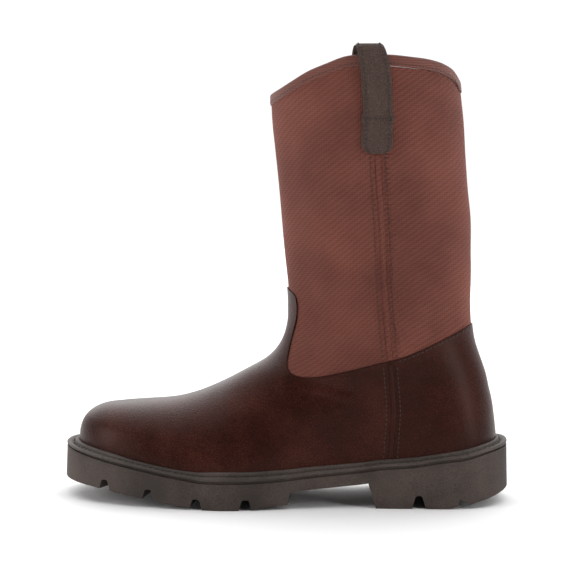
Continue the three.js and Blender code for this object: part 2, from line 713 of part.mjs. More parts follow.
// Closed loop round the sole: outer side from toe to heel, then inner side back to the toe
function soleLoop(side, end, z) {
  const loop = [];
  for (let i = 0; i < 2 * SOLE_STATIONS; i += 1) {
    const at = (1 - Math.cos((Math.min(i, 2 * SOLE_STATIONS - i) / SOLE_STATIONS) * Math.PI)) / 2;
    const { x, centre, half } = outline(at, side, end);
    loop.push(new THREE.Vector3(x, centre + (i < SOLE_STATIONS ? -half : half), z(x)));
  }
  return loop;
}

// Solid from a stack of such loops, closed by strips across at the bottom and the top
function stack(loops) {
  const n = 2 * SOLE_STATIONS;
  const points = loops.flat();
  const triangles = [];
  for (let l = 0; l < loops.length - 1; l += 1) {
    for (let i = 0; i < n; i += 1) {
      const a = l * n + i;
      const b = l * n + ((i + 1) % n);
      triangles.push([a, b, b + n], [a, b + n, a + n]);
    }
  }
  for (const [first, flip] of [[0, true], [(loops.length - 1) * n, false]]) {
    for (let i = 0; i < SOLE_STATIONS; i += 1) {
      const a = first + i;
      const b = first + i + 1;
      const c = first + ((n - i - 1) % n);
      const d = first + ((n - i) % n);
      const faces = [[a, b, c], [a, c, d]];
      triangles.push(...faces.map((t) => (flip ? t.reverse() : t)));
    }
  }
  return solid(meshOf(points, triangles));
}

// Notches of the forefoot: how far each swings toward the heel per unit toward the boot's middle
const NOTCHES = [
  { at: 0.11, swing: 0.28 },
  { at: 0.2165, swing: 0.09 },
  { at: 0.3235, swing: 0.03 },
  { at: 0.4285, swing: -0.1 },
];
const HEEL_NOTCH = 0.802;
const HEEL_WEDGE = 0.885;
const CHANNEL_START = 0.165;
const ARCH = { front: 0.514, rise: 0.5245, breastTop: 0.693, breastFoot: 0.716 };
const solePlace = (at) => (at - 0.5) * SOLE_LENGTH;

// Cut across the tread with the given side outline, drawn at the sole's edge. It swings toward
// the heel on its way to the boot's middle, into a wide V in plan.
function acrossTread(points, swing) {
  const side = outline(share(points[0][0]), 0, 0).half;
  const geometry = barGeometry(points, -BALL_WIDTH, BALL_WIDTH, 2);
  const position = geometry.attributes.position;
  for (let i = 0; i < position.count; i += 1) {
    position.setX(i, position.getX(i) + swing * (side - Math.abs(position.getY(i))));
  }
  return solid(geometry);
}

// Notch between two lugs, wider at its mouth than at its rounded root
function notch(x, mouth, root, depth, swing) {
  const floor = underside(x);
  const flare = ((mouth - root) / 2) * (LUG_DEPTH / depth);
  const half = [
    [mouth / 2 + flare, floor - LUG_DEPTH],
    [root / 2, floor + 0.72 * depth],
    [0.3 * root, floor + depth],
  ];
  const other = half.map(([w, z]) => [-w, z]).reverse();
  return acrossTread([...half, ...other].map(([w, z]) => [x + w, z]), swing);
}

// The heel's last notch: a steep wall in front, then a slope down to the floor
function wedge(x) {
  return acrossTread([
    [x, -LUG_DEPTH],
    [x, 0],
    [x + 0.2 * WEDGE_DEPTH, WEDGE_DEPTH],
    [x + WEDGE_LENGTH, 0],
    [x + WEDGE_LENGTH, -LUG_DEPTH],
  ], 0);
}

// Rounded rise of the heel's underside toward the rear
function heelBevel() {
  const steps = 5;
  const start = SOLE_LENGTH / 2 - HEEL_BEVEL_LENGTH;
  const curve = Array.from({ length: steps + 1 }, (_, i) => {
    const t = (1.1 * i) / steps;
    return [start + t * HEEL_BEVEL_LENGTH, HEEL_BEVEL_RISE * t * t];
  });
  return [...curve, [curve[steps][0], -LUG_DEPTH], [start, -LUG_DEPTH]];
}

// Height of the groove under the welt
function grooveHeight(x) {
  const at = share(x);
  return GROOVE_HEIGHT * mix(0.2, 1, smooth(at / 0.14) * smooth((1 - at) / 0.1));
}

// Rubber moulding with heel, arch, lugs and the groove under the welt
function outsole() {
  const inset = SIDE_LEAN + GROOVE_DEPTH;
  const endInset = END_LEAN + GROOVE_DEPTH;
  const shoulder = (x) => soleTop(x) - grooveHeight(x);
  let sole = stack([
    soleLoop(0, 0, underside),
    soleLoop(SIDE_LEAN, END_LEAN, shoulder),
    soleLoop(inset, endInset, shoulder),
    soleLoop(inset, endInset, soleTop),
  ]);
  const steps = 6;
  const arch = Array.from({ length: steps + 1 }, (_, i) => {
    const x = solePlace(mix(ARCH.rise, ARCH.breastTop, i / steps));
    return [x, soleTop(x) - ARCH_EDGE];
  });
  arch.unshift([solePlace(ARCH.front), -LUG_DEPTH]);
  arch.push([solePlace(ARCH.breastFoot), -LUG_DEPTH]);
  sole = sole.subtract(bar(arch, -REACH, REACH));
  sole = sole.subtract(bar(heelBevel(), -REACH, REACH));
  for (const { at, swing } of NOTCHES) {
    sole = sole.subtract(notch(solePlace(at), NOTCH_MOUTH, NOTCH_ROOT, LUG_DEPTH, swing));
  }
  const heelNotch = notch(solePlace(HEEL_NOTCH), HEEL_NOTCH_MOUTH, HEEL_NOTCH_ROOT, HEEL_LUG_DEPTH, 0);
  sole = sole.subtract(heelNotch).subtract(wedge(solePlace(HEEL_WEDGE)));
  const channel = Array.from({ length: steps + 1 }, (_, i) => {
    const x = solePlace(mix(CHANNEL_START, ARCH.front, i / steps));
    return [x, underside(x) + CHANNEL_DEPTH];
  });
  channel.unshift([channel[0][0], -LUG_DEPTH]);
  channel.push([channel[steps + 1][0], -LUG_DEPTH]);
  return sole.subtract(bar(channel, -CHANNEL_WIDTH / 2, CHANNEL_WIDTH / 2));
}

// Section of the welt: in is a share of its reach from the sole's edge, up of its height.
// A rounded outer bead, the stitched channel, then the inner bead against the upper.
const WELT = [
  { in: 0.08, up: 0.0 },
  { in: 0.0, up: 0.16 },
  { in: 0.0, up: 0.36 },
  { in: 0.12, up: 0.5 },
  { in: 0.32, up: 0.5 },
  { in: 0.44, up: 0.38 },
  { in: 0.58, up: 0.38 },
  { in: 0.64, up: 0.66 },
  { in: 0.76, up: 0.94 },
  { in: 0.92, up: 1.0 },
  { in: 1.3, up: 1.0 },
  { in: 1.3, up: 0.0 },
];

// Ring of welt between sole and upper, cut to the upper with a clearance
function welt() {
  const n = 2 * SOLE_STATIONS;
  const loops = WELT.map((row) => soleLoop(
    mix(SIDE_LEAN, WELT_REACH, row.in), mix(END_LEAN, WELT_END_REACH, row.in),
    (x) => soleTop(x) + CLEARANCE + row.up * weltRise(x)));
  const triangles = [];
  loops.forEach((_, l) => {
    const next = (l + 1) % loops.length;
    for (let i = 0; i < n; i += 1) {
      const j = (i + 1) % n;
      triangles.push([l * n + i, l * n + j, next * n + j], [l * n + i, next * n + j, next * n + i]);
    }
  });
  const ring = solid(meshOf(loops.flat(), triangles));
  return ring.subtract(filled(LEATHER_STEP + CLEARANCE, CLEARANCE));
}

// Footbed: it lies on the sole inside the welt and fits the upper's inside with a clearance
function insole() {
  const inside = WELT_REACH * 1.3 + CLEARANCE;
  const insideEnd = WELT_END_REACH * 1.3 + CLEARANCE;
  const plate = stack([
    soleLoop(inside, insideEnd, (x) => soleTop(x) + CLEARANCE),
    soleLoop(inside, insideEnd, (x) => soleTop(x) + CLEARANCE + INSOLE_THICKNESS),
  ]);
  return plate.intersect(filled(LEATHER_STEP - UPPER_WALL - CLEARANCE, 2 * WELT_HEIGHT));
}

const LEATHER = { color: 0x4a3230, roughness: 0.5, metalness: 0 };
const CLOTH = { color: 0x74443a, roughness: 0.85, metalness: 0 };
const STRAP_LEATHER = { color: 0x574a44, roughness: 0.65, metalness: 0 };
const TAPE = { color: 0x5e4e48, roughness: 0.85, metalness: 0 };
const RUBBER = { color: 0x4a423d, roughness: 0.8, metalness: 0 };
const WELTING = { color: 0x5b4f48, roughness: 0.7, metalness: 0 };
const FOOTBED = { color: 0x6e6259, roughness: 0.9, metalness: 0 };

const boot = new THREE.Group();
function add(name, manifold, finish) {
  const mesh = new THREE.Mesh(geometryOf(manifold), new THREE.MeshStandardMaterial(finish));
  mesh.name = name;
  boot.add(mesh);
}

add('outsole', outsole(), RUBBER);
add('welt', welt(), WELTING);
add('insole', insole(), FOOTBED);
add('upper', upper(), LEATHER);
add('shaft', shaft(), CLOTH);
add('collar_binding', collarBinding(), TAPE);
const seamTop = collarZ(seamX(BOOT_HEIGHT)) + STRAP[0].up * STRAP_RISE - SEAM_GAP;
for (const [side, name] of [[-1, 'outer'], [1, 'inner']]) {
  const split = edgeAtSeam();
  const seamFoot = seamX(TOE_FEATHER) + PIPING_WIDTH;
  const foot = soleTop(seamFoot) + weltRise(seamFoot) + 3 * CLEARANCE;
  add(`seam_shaft_${name}`, seamStrip(0, side, split + SEAM_GAP, seamTop), CLOTH);
  add(`seam_foot_${name}`, seamStrip(LEATHER_STEP, side, foot, split - SEAM_GAP), LEATHER);
  add(`pull_strap_${name}`, pullStrap(side), STRAP_LEATHER);
}

// Origin under the middle of the boot's box, on the floor
const box = new THREE.Box3().setFromObject(boot);
const middle = box.getCenter(new THREE.Vector3());
boot.position.set(-middle.x, -middle.y, -box.min.z);
boot.updateMatrixWorld(true);

export default boot;
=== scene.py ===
import math

import bmesh
import bpy
import numpy as np
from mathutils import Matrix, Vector


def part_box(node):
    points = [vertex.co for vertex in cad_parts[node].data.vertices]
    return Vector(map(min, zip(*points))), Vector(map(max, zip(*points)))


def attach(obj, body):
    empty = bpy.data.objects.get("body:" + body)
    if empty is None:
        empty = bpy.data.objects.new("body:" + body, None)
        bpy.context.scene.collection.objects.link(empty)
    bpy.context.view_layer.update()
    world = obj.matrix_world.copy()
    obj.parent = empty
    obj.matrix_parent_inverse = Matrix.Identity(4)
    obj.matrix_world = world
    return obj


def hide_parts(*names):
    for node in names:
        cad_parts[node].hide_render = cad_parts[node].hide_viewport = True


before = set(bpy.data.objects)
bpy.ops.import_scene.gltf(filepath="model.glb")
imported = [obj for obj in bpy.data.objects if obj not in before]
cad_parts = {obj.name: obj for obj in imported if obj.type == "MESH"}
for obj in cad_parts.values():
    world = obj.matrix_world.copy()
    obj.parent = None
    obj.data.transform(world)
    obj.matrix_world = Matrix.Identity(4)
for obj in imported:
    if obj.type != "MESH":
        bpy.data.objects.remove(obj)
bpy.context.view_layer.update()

MM = 0.001

# Sole
SOLE_LENGTH = 319
BALL_WIDTH = 118
BALL_EDGE = 19.6
HEEL_HEIGHT = 30.2
ARCH_EDGE = 9.4
TOE_SPRING = 13
LUG_DEPTH = 7
NOTCH_MOUTH = 9.6
NOTCH_ROOT = 5.8
HEEL_LUG_DEPTH = 9.2
HEEL_NOTCH_MOUTH = 10.7
HEEL_NOTCH_ROOT = 5.6
WEDGE_LENGTH = 16
WEDGE_DEPTH = 6.8
CHANNEL_WIDTH = 7
CHANNEL_DEPTH = 4
GROOVE_DEPTH = 1.8
GROOVE_HEIGHT = 1.4
HEEL_BEVEL_LENGTH = 61
HEEL_BEVEL_RISE = 10.8
SIDE_LEAN = 0.6
END_LEAN = 0.8

# Welt and insole
WELT_REACH = 6.5
WELT_END_REACH = 9.5
WELT_HEIGHT = 7
INSOLE_THICKNESS = 6

# Upper and shaft
BOOT_HEIGHT = 309.2
INSTEP_HEIGHT = 104.2
SHAFT_WIDTH = 106
UPPER_WALL = 2.2
SHAFT_WALL = 1.8
LEATHER_STEP = 1
BINDING_HEIGHT = 7.5
BINDING_STEP = 0.8

# Seams and pull straps
PIPING_WIDTH = 3.2
PIPING_HEIGHT = 1.3
SEAM_GAP = 1.5
STRAP_WIDTH = 20
STRAP_THICKNESS = 2.2
STRAP_RISE = 7.2
CLEARANCE = 0.3

# Steps along the drawn lines
LINE_STEPS = 160
PROFILE_STEPS = 40
EDGE_STEPS = 220
STRAP_STEPS = 130
COLLAR_STEPS = 120


def table(names, rows):
    """Rows as dictionaries by the names of their columns."""
    return [dict(zip(names.split(), row)) for row in rows]


# Tables. at runs from the toe to the heel as a share of the sole's length, along is the same from
# its middle, level is 0 at the welt, 1 at the instep and 2 at the collar
EDGE = table("at ball spring heel welt", [
    (0.0, 1.168, 1.0, 0.0, 0.6),
    (0.1, 1.071, 0.815, 0.0, 0.62),
    (0.2, 1.026, 0.492, 0.0, 0.5),
    (0.25, 1.0, 0.315, 0.0, 0.52),
    (0.3, 1.0, 0.13, 0.0, 0.58),
    (0.34, 1.0, 0.0, 0.0, 0.75),
    (0.4, 1.0, 0.0, 0.0, 0.84),
    (0.45, 0.856, 0.069, 0.07, 0.82),
    (0.5, 0.56, 0.223, 0.225, 0.8),
    (0.56, 0.3, 0.246, 0.44, 0.75),
    (0.62, 0.13, 0.154, 0.65, 0.7),
    (0.7, 0.012, 0.0, 0.89, 0.66),
    (0.8, 0.0, 0.0, 1.0, 0.66),
    (0.85, 0.0, 0.0, 1.092, 0.62),
    (0.9, 0.0, 0.0, 1.155, 0.68),
    (0.95, 0.0, 0.0, 1.265, 0.68),
    (1.0, 0.0, 0.0, 1.334, 0.84),
])
PLAN = table("at centre half", [
    (0.0, 0.055, 0.43),
    (0.12, 0.034, 0.44),
    (0.2, 0.015, 0.463),
    (0.28, -0.002, 0.487),
    (0.36, -0.023, 0.487),
    (0.42, -0.04, 0.462),
    (0.5, -0.053, 0.405),
    (0.58, -0.049, 0.36),
    (0.66, -0.032, 0.353),
    (0.75, -0.016, 0.361),
    (0.85, 0.0, 0.37),
    (1.0, 0.0, 0.37),
])
TOE_ROUND = {"reach": 0.2, "power": 2.15}
HEEL_ROUND = {"reach": 0.155, "power": 2.25}
FRONT = table("level along", [
    (0.0, -0.467),
    (0.132, -0.464),
    (0.229, -0.4565),
    (0.304, -0.4435),
    (0.368, -0.417),
    (0.4, -0.372),
    (0.423, -0.317),
    (0.456, -0.2495),
    (0.521, -0.1985),
    (0.629, -0.1445),
    (0.769, -0.0885),
    (0.9325, -0.0323),
    (1.034, -0.0034),
    (1.098, 0.0098),
    (1.17, 0.0115),
    (1.24, 0.0088),
    (1.351, 0.0012),
    (1.571, -0.0113),
    (1.795, -0.0258),
    (1.883, -0.0285),
    (2.0, -0.033),
])
BACK = table("level along", [
    (0.0, 0.4705),
    (0.132, 0.4705),
    (0.309, 0.4665),
    (0.502, 0.4608),
    (0.59, 0.456),
    (0.775, 0.4475),
    (0.952, 0.435),
    (1.044, 0.4225),
    (1.127, 0.4158),
    (1.29, 0.416),
    (1.4585, 0.4143),
    (1.571, 0.407),
    (1.683, 0.4015),
    (1.795, 0.397),
    (1.907, 0.389),
    (2.0, 0.3845),
])
FOREFOOT = table("at full ridge", [
    (0.0, 2.6, 0.0),
    (0.15, 2.5, 0.01),
    (0.3, 2.15, 0.03),
    (0.42, 1.95, 0.045),
    (0.55, 1.9, 0.05),
])
LEVELS = table("level half front back", [
    (0.614, 0.345, 1.9, 2.3),
    (0.855, 0.355, 1.9, 2.2),
    (1.05, 0.378, 1.9, 2.1),
    (1.2, 0.41, 1.95, 2.05),
    (1.45, 0.465, 2.0, 2.05),
    (1.7, 0.495, 2.05, 2.05),
    (2.0, 0.5, 2.1, 2.1),
])
COLLAR = table("across drop", [
    (0.0, 0.075),
    (0.05, 0.068),
    (0.12, 0.054),
    (0.22, 0.0325),
    (0.31, 0.0185),
    (0.42, 0.003),
    (0.52, 0.0),
    (0.63, 0.0),
    (0.75, 0.0037),
    (0.85, 0.008),
    (0.92, 0.0157),
    (0.965, 0.0268),
    (1.0, 0.048),
])
LEATHER_EDGE = table("level along", [
    (1.222, 0.0075),
    (1.216, 0.0123),
    (1.2, 0.0265),
    (1.18, 0.0315),
    (1.15, 0.0326),
    (1.125, 0.0313),
    (1.09, 0.0266),
    (1.05, 0.0198),
    (1.01, 0.0148),
    (0.929, 0.0117),
    (0.861, 0.0138),
    (0.813, 0.021),
    (0.781, 0.0345),
    (0.769, 0.055),
    (0.774, 0.08),
    (0.793, 0.105),
    (0.836, 0.143),
    (0.888, 0.1847),
    (0.93, 0.217),
    (0.966, 0.249),
    (1.005, 0.28),
    (1.057, 0.357),
    (1.1, 0.42),
    (1.107, 0.45),
])
TAB_SLOPE = 0.3
SEAM = table("level along", [
    (2.0, 0.2075),
    (1.66, 0.2105),
    (1.45, 0.2195),
    (1.22, 0.2262),
    (1.04, 0.235),
    (0.711, 0.243),
    (0.441, 0.2468),
    (0.132, 0.2437),
    (-0.25, 0.238),
])
STRAP = table("up out aside width", [
    (-9.2, 0.21, 0.08, 0.35),
    (-9.05, 0.21, 0.08, 0.75),
    (-8.65, 0.21, 0.08, 1.0),
    (-7.8, 0.21, 0.08, 1.06),
    (-6.4, 0.21, 0.12, 1.0),
    (-5.4, 0.27, 0.14, 1.0),
    (-4.0, 0.5, 0.08, 1.0),
    (-2.3, 0.72, -0.02, 1.0),
    (-1.0, 0.78, -0.17, 1.0),
    (0.3, 0.74, -0.48, 0.96),
    (0.76, 0.42, -0.66, 0.94),
    (0.86, -0.1, -0.75, 0.94),
    (0.76, -0.62, -0.88, 0.94),
    (0.3, -0.92, -0.97, 0.96),
    (-1.2, -0.92, -1.0, 1.0),
    (-3.5, -0.74, -0.8, 1.0),
    (-6.2, -0.54, -0.6, 1.0),
    (-8.2, -0.54, -0.5, 1.0),
])
WELT = table("in up", [
    (0.08, 0.0),
    (0.0, 0.16),
    (0.0, 0.36),
    (0.12, 0.5),
    (0.32, 0.5),
    (0.44, 0.38),
    (0.58, 0.38),
    (0.64, 0.66),
    (0.76, 0.94),
    (0.92, 1.0),
    (1.3, 1.0),
    (1.3, 0.0),
])

# Soft folds in the leather, in the side view: both ends as a share of the sole's length and a
# level, how deep (a trough is positive) and how wide in millimetres. side is -1 on the outer
# side, 1 inside, 0 on both.
FOLDS = table("along level deep wide side", [
    ((0.05, 0.15), (0.727, 0.652), 0.55, 3.4, 0),
    ((0.038, 0.138), (0.621, 0.515), 0.35, 2.6, 0),
    ((0.069, 0.182), (0.833, 0.788), -0.4, 4.0, 0),
    ((-0.144, -0.063), (0.515, 0.061), 0.3, 3.5, 0),
    ((-0.094, -0.019), (0.576, 0.091), 0.34, 3.2, -1),
    ((-0.038, 0.031), (0.636, 0.152), 0.26, 3.0, -1),
    ((-0.075, 0.013), (0.667, 0.121), 0.34, 3.4, 1),
    ((0.257, 0.339), (0.909, 0.985), 0.32, 2.0, 0),
    ((0.263, 0.351), (0.833, 0.939), -0.26, 1.9, 0),
    ((0.263, 0.326), (0.758, 0.818), 0.26, 1.8, -1),
    ((0.27, 0.313), (0.621, 0.742), 0.22, 1.7, -1),
])
# Slow hollows and swells in the woven shaft, in the same way
DRAPE = table("along level deep wide side", [
    ((0.013, 0.063), (1.722, 1.137), 1.1, 8.0, 0),
    ((0.088, 0.119), (1.82, 1.039), -0.7, 9.0, -1),
    ((0.313, 0.351), (1.78, 1.527), 0.8, 9.0, 0),
    ((0.263, 0.395), (1.478, 1.371), 0.6, 8.0, -1),
    ((0.282, 0.389), (1.283, 1.185), 0.5, 7.0, 0),
    ((0.044, 0.144), (1.098, 1.01), 0.5, 6.0, 0),
])


def column(rows, place, value):
    """Smooth curve of one column over another, without overshoot."""
    keys = np.array([row[place] for row in rows], float)
    values = np.array([row[value] for row in rows], float)
    steps = np.diff(values) / np.diff(keys)
    before = np.concatenate([steps[:1], steps])
    after = np.concatenate([steps, steps[-1:]])
    limit = 3 * np.minimum(abs(before), abs(after))
    slopes = np.where(before * after <= 0, 0, np.clip((before + after) / 2, -limit, limit))

    def curve(t):
        t = np.asarray(t, float)
        i = np.clip(np.searchsorted(keys, t) - 1, 0, len(keys) - 2)
        run = keys[i + 1] - keys[i]
        s = np.clip((t - keys[i]) / run, 0, 1)
        rise = values[i + 1] - values[i]
        bend = (1 - s) * (slopes[i] * run - rise) - s * (slopes[i + 1] * run - rise)
        return values[i] + s * rise + s * (1 - s) * bend

    return curve


def spline(points, count):
    """Centripetal curve through the points, as count + 1 points spread evenly over its spans."""
    p = np.asarray(points, float)
    p = np.vstack([2 * p[0] - p[1], p, 2 * p[-1] - p[-2]])
    spans = len(p) - 3
    made = []
    for t in np.linspace(0, spans, count + 1):
        i = min(int(t), spans - 1)
        a, b, c, d = p[i:i + 4]
        w = t - i
        ab, bc, cd = (math.sqrt(np.linalg.norm(v)) for v in (b - a, c - b, d - c))
        start = bc * ((b - a) / ab - (c - a) / (ab + bc) + (c - b) / bc)
        end = bc * ((c - b) / bc - (d - b) / (bc + cd) + (d - c) / cd)
        made.append(b + w * start + w * w * (3 * (c - b) - 2 * start - end)
                    + w ** 3 * (2 * (b - c) + start + end))
    return np.array(made)


def mix(a, b, t):
    return a + (b - a) * t


def smooth(t):
    t = np.clip(t, 0, 1)
    return t * t * (3 - 2 * t)


def rounded(c, power):
    return (1 - np.clip(c, 0, 1) ** power) ** (1 / power)


def curves(rows):
    """A curve for each column over the first one."""
    place, *names = rows[0]
    return [column(rows, place, name) for name in names]


edge_ball, edge_spring, edge_heel, edge_welt = curves(EDGE)
plan_centre, plan_half = curves(PLAN)


def share(x):
    return x / SOLE_LENGTH + 0.5


def underside(x):
    return edge_spring(share(x)) * TOE_SPRING


def sole_top(x):
    at = share(x)
    return edge_ball(at) * BALL_EDGE + underside(x) + edge_heel(at) * HEEL_HEIGHT


def welt_rise(x):
    return edge_welt(share(x)) * WELT_HEIGHT


BEAD_LAP = 2.5


def feather(x):
    return sole_top(x) + welt_rise(x) - BEAD_LAP + 2 * CLEARANCE


def outline(at, side, end):
    toe = rounded(1 - at / TOE_ROUND["reach"], TOE_ROUND["power"])
    heel = rounded(1 - (1 - at) / HEEL_ROUND["reach"], HEEL_ROUND["power"])
    x = (at - 0.5) * (SOLE_LENGTH - 2 * end)
    return x, plan_centre(at) * BALL_WIDTH, (plan_half(at) * BALL_WIDTH - side) * toe * heel


TOE_FEATHER = float(feather(-SOLE_LENGTH / 2))


def height(level):
    low = mix(TOE_FEATHER, INSTEP_HEIGHT, level)
    return low if level < 1 else mix(INSTEP_HEIGHT, BOOT_HEIGHT, level - 1)


def side_view(rows, steps):
    """Line in the side view through a table's rows of level and along."""
    return spline([(row["along"] * SOLE_LENGTH, height(row["level"])) for row in rows], steps)


def profile(rows):
    line = side_view(rows, PROFILE_STEPS * len(rows))
    line[:, 1] = np.maximum.accumulate(line[:, 1])
    return line


front_line = profile(FRONT)
back_line = profile(BACK)
seam_line = profile(SEAM[::-1])


def on_line(line):
    """x over z of a line of the side view."""
    return lambda z: np.interp(z, line[:, 1], line[:, 0])


front_x, back_x, seam_x = on_line(front_line), on_line(back_line), on_line(seam_line)
rising_to = int(np.argmax(front_line[:, 0]))


def ridge_z(x):
    rising = front_line[:rising_to + 1]
    return np.interp(x, np.maximum.accumulate(rising[:, 0]), rising[:, 1])


TOE_X = float(front_line[0, 0])
HEEL_X = float(back_line[0, 0])
UPPER_SIDE = WELT_REACH + LEATHER_STEP
UPPER_END = WELT_END_REACH + LEATHER_STEP
MIDDLE_X = 0.18 * SOLE_LENGTH
ANKLE_TOP = 1.12 * INSTEP_HEIGHT
PIVOT_Z = 0.28 * INSTEP_HEIGHT
FOREFOOT_ANGLE = 18
SHAFT_ANGLE = 52

forefoot_full, forefoot_ridge = curves(FOREFOOT)
level_half, level_front, level_back = curves([{**row, "level": height(row["level"])} for row in LEVELS])


def foot_plan(x):
    at = (x - TOE_X) / (HEEL_X - TOE_X)
    _, centre, half = outline(np.clip(at, 0, 1), UPPER_SIDE, UPPER_END)
    return centre, half


def arch_section(x, z):
    centre, half = foot_plan(x)
    at = (x - TOE_X) / (HEEL_X - TOE_X)
    bottom = feather(x)
    up = np.clip((z - bottom) / np.maximum(ridge_z(x) - bottom, 1e-3), 0, 1)
    return centre + forefoot_ridge(at) * BALL_WIDTH * up * up, half * rounded(up, forefoot_full(at))


def level_section(x, z):
    back = back_x(z)
    front = front_x(z)
    behind = x > MIDDLE_X
    out = np.where(behind, (x - MIDDLE_X) / (back - MIDDLE_X), (MIDDLE_X - x) / (MIDDLE_X - front))
    power = np.where(behind, level_back(z), level_front(z))
    half = level_half(z) * SHAFT_WIDTH * rounded(out, power)
    low_centre, low_half = foot_plan(np.where(behind, mix(MIDDLE_X, HEEL_X, out), x))
    up = smooth((z - feather(x)) / (ANKLE_TOP - feather(x)))
    return mix(low_centre, 0, up), mix(low_half, half, up)


def last(x, z):
    """Centre line and half width of the last at x, z of the side view."""
    x = np.asarray(x, float)
    z = np.asarray(z, float)
    angle = np.degrees(np.arctan2(z - PIVOT_Z, MIDDLE_X - x))
    level = np.where(x < MIDDLE_X, smooth((angle - FOREFOOT_ANGLE) / (SHAFT_ANGLE - FOREFOOT_ANGLE)), 1)
    arch = arch_section(x, z)
    shaft = level_section(x, z)
    return mix(arch[0], shaft[0], level), mix(arch[1], shaft[1], level)


collar_drop = curves(COLLAR)[0]
COLLAR_FRONT = float(front_x(BOOT_HEIGHT))
COLLAR_BACK = float(back_x(BOOT_HEIGHT))


def collar_z(x):
    across = (x - COLLAR_FRONT) / (COLLAR_BACK - COLLAR_FRONT)
    return BOOT_HEIGHT * (1 - collar_drop(np.clip(across, 0, 1)))


# Fine grid over the last: rows of section planes that turn from upright at the toe to level
# in the shaft, as in the solids
COLUMNS = 96
UPRIGHT = 52
TURNING = 60
CLIMBING = 26
SHAFT_ROWS = 92
SHAFT_START = mix(INSTEP_HEIGHT, BOOT_HEIGHT, 0.36)
FIRST_CLOSED = UPRIGHT + TURNING
ROWS = UPRIGHT + TURNING + CLIMBING + SHAFT_ROWS
ROW = 2 * COLUMNS + 1
STRAIGHT = 0.34
TOE_CROWDING = 1.5
HEEL_CROWDING = 1.35
CLIMB_CROWDING = 0.9
TURNED = mix(INSTEP_HEIGHT, BOOT_HEIGHT, 0.22)


def grid_places():
    """x and z of each grid point in the side view."""
    turn = np.arange(COLUMNS + 1) / COLUMNS * math.pi
    middle = mix(TOE_X, HEEL_X, STRAIGHT)
    rows = []
    for i in range(UPRIGHT + 1):
        x = mix(TOE_X, HEEL_X, STRAIGHT * (i / UPRIGHT) ** TOE_CROWDING)
        rows.append((x, feather(x), x, feather(x) if i == 0 else ridge_z(x), 0))
    for i in range(1, TURNING + 1):
        at = i / TURNING
        x = mix(middle, HEEL_X, 1 - (1 - at) ** HEEL_CROWDING)
        z = mix(ridge_z(middle), TURNED, at ** CLIMB_CROWDING)
        rows.append((x, feather(x), front_x(z), z, smooth(at)))
    for i in range(1, CLIMBING + 1):
        at = i / CLIMBING
        low = mix(feather(HEEL_X), SHAFT_START, at)
        high = mix(TURNED, SHAFT_START, at)
        rows.append((back_x(low), low, front_x(high), high, 1))
    xs, zs = [], []
    for x0, z0, x1, z1, closed in rows:
        s = mix(np.sin(turn / 2), (1 - np.cos(turn)) / 2, closed)
        xs.append(mix(x0, x1, s))
        zs.append(mix(z0, z1, s))
    s = (1 - np.cos(turn)) / 2
    for i in range(1, SHAFT_ROWS + 1):
        z = mix(SHAFT_START, collar_z(mix(COLLAR_BACK, COLLAR_FRONT, s)), i / SHAFT_ROWS)
        xs.append(mix(back_x(z), front_x(z), s))
        zs.append(z)
    return np.array(xs), np.array(zs)


def last_grid():
    """Points of the grid, (rows + 1) x (2 columns + 1) x 3: outer side up, inner side down."""
    x, z = grid_places()
    centre, half = last(x, z)
    half[:, -1] = np.where(np.arange(ROWS + 1) > 0, 0 * half[:, -1], half[:, -1])
    outer = np.stack([x, centre - half, z], -1)
    inner = np.stack([x, centre + half, z], -1)[:, -2::-1]
    grid = np.concatenate([outer, inner], 1)
    grid[0, :, 1] = foot_plan(TOE_X)[0]
    grid[FIRST_CLOSED:, 0, 1] = grid[FIRST_CLOSED:, -1, 1] = centre[FIRST_CLOSED:, 0]
    return grid


def welded_index():
    """Grid index with the toe's point and the closed rows' back points shared."""
    index = np.arange((ROWS + 1) * ROW).reshape(ROWS + 1, ROW)
    index[0, :] = 0
    index[FIRST_CLOSED:, -1] = index[FIRST_CLOSED:, 0]
    return index


GRID = last_grid()
INDEX = welded_index()


def quads():
    a, b = INDEX[:-1, :-1], INDEX[1:, :-1]
    c, d = INDEX[1:, 1:], INDEX[:-1, 1:]
    return np.stack([a, b, c, d], -1).reshape(-1, 4)


def grid_normals():
    points = GRID.reshape(-1, 3)
    faces = quads()
    a, b, c, d = (points[faces[:, k]] for k in range(4))
    diagonal = np.cross(c - a, d - b)
    total = np.zeros_like(points)
    for k in range(4):
        np.add.at(total, faces[:, k], diagonal)
    normals = total[INDEX]
    normals[:FIRST_CLOSED + 1, 0, 2] = 0
    normals[:FIRST_CLOSED + 1, -1, 2] = 0
    normals[-1, :, 2] = 0
    normals[0, :] = (-1, 0, 0)
    length = np.linalg.norm(normals, axis=-1, keepdims=True)
    return normals / np.maximum(length, 1e-9)


NORMALS = grid_normals()


def relief(rows):
    """How far the surface lies below the last at each grid point, from a table of folds."""
    x, z = GRID[..., 0], GRID[..., 2]
    side = np.where(np.arange(ROW) < COLUMNS, -1, 1)[None, :]
    total = np.zeros_like(x)
    for row in rows:
        ax, bx = (along * SOLE_LENGTH for along in row["along"])
        az, bz = (height(level) for level in row["level"])
        run = (bx - ax) ** 2 + (bz - az) ** 2
        t = np.clip(((x - ax) * (bx - ax) + (z - az) * (bz - az)) / run, 0, 1)
        gap = np.hypot(x - mix(ax, bx, t), z - mix(az, bz, t)) / row["wide"]
        here = (side == row["side"]) | (row["side"] == 0)
        total += np.where(here, row["deep"] * np.exp(-gap * gap), 0)
    return total


def offset_sheet(distance, below=0):
    """Grid points moved out by distance, less the depth of the folds there."""
    return (GRID + NORMALS * (distance - np.asarray(below))[..., None]).reshape(-1, 3)


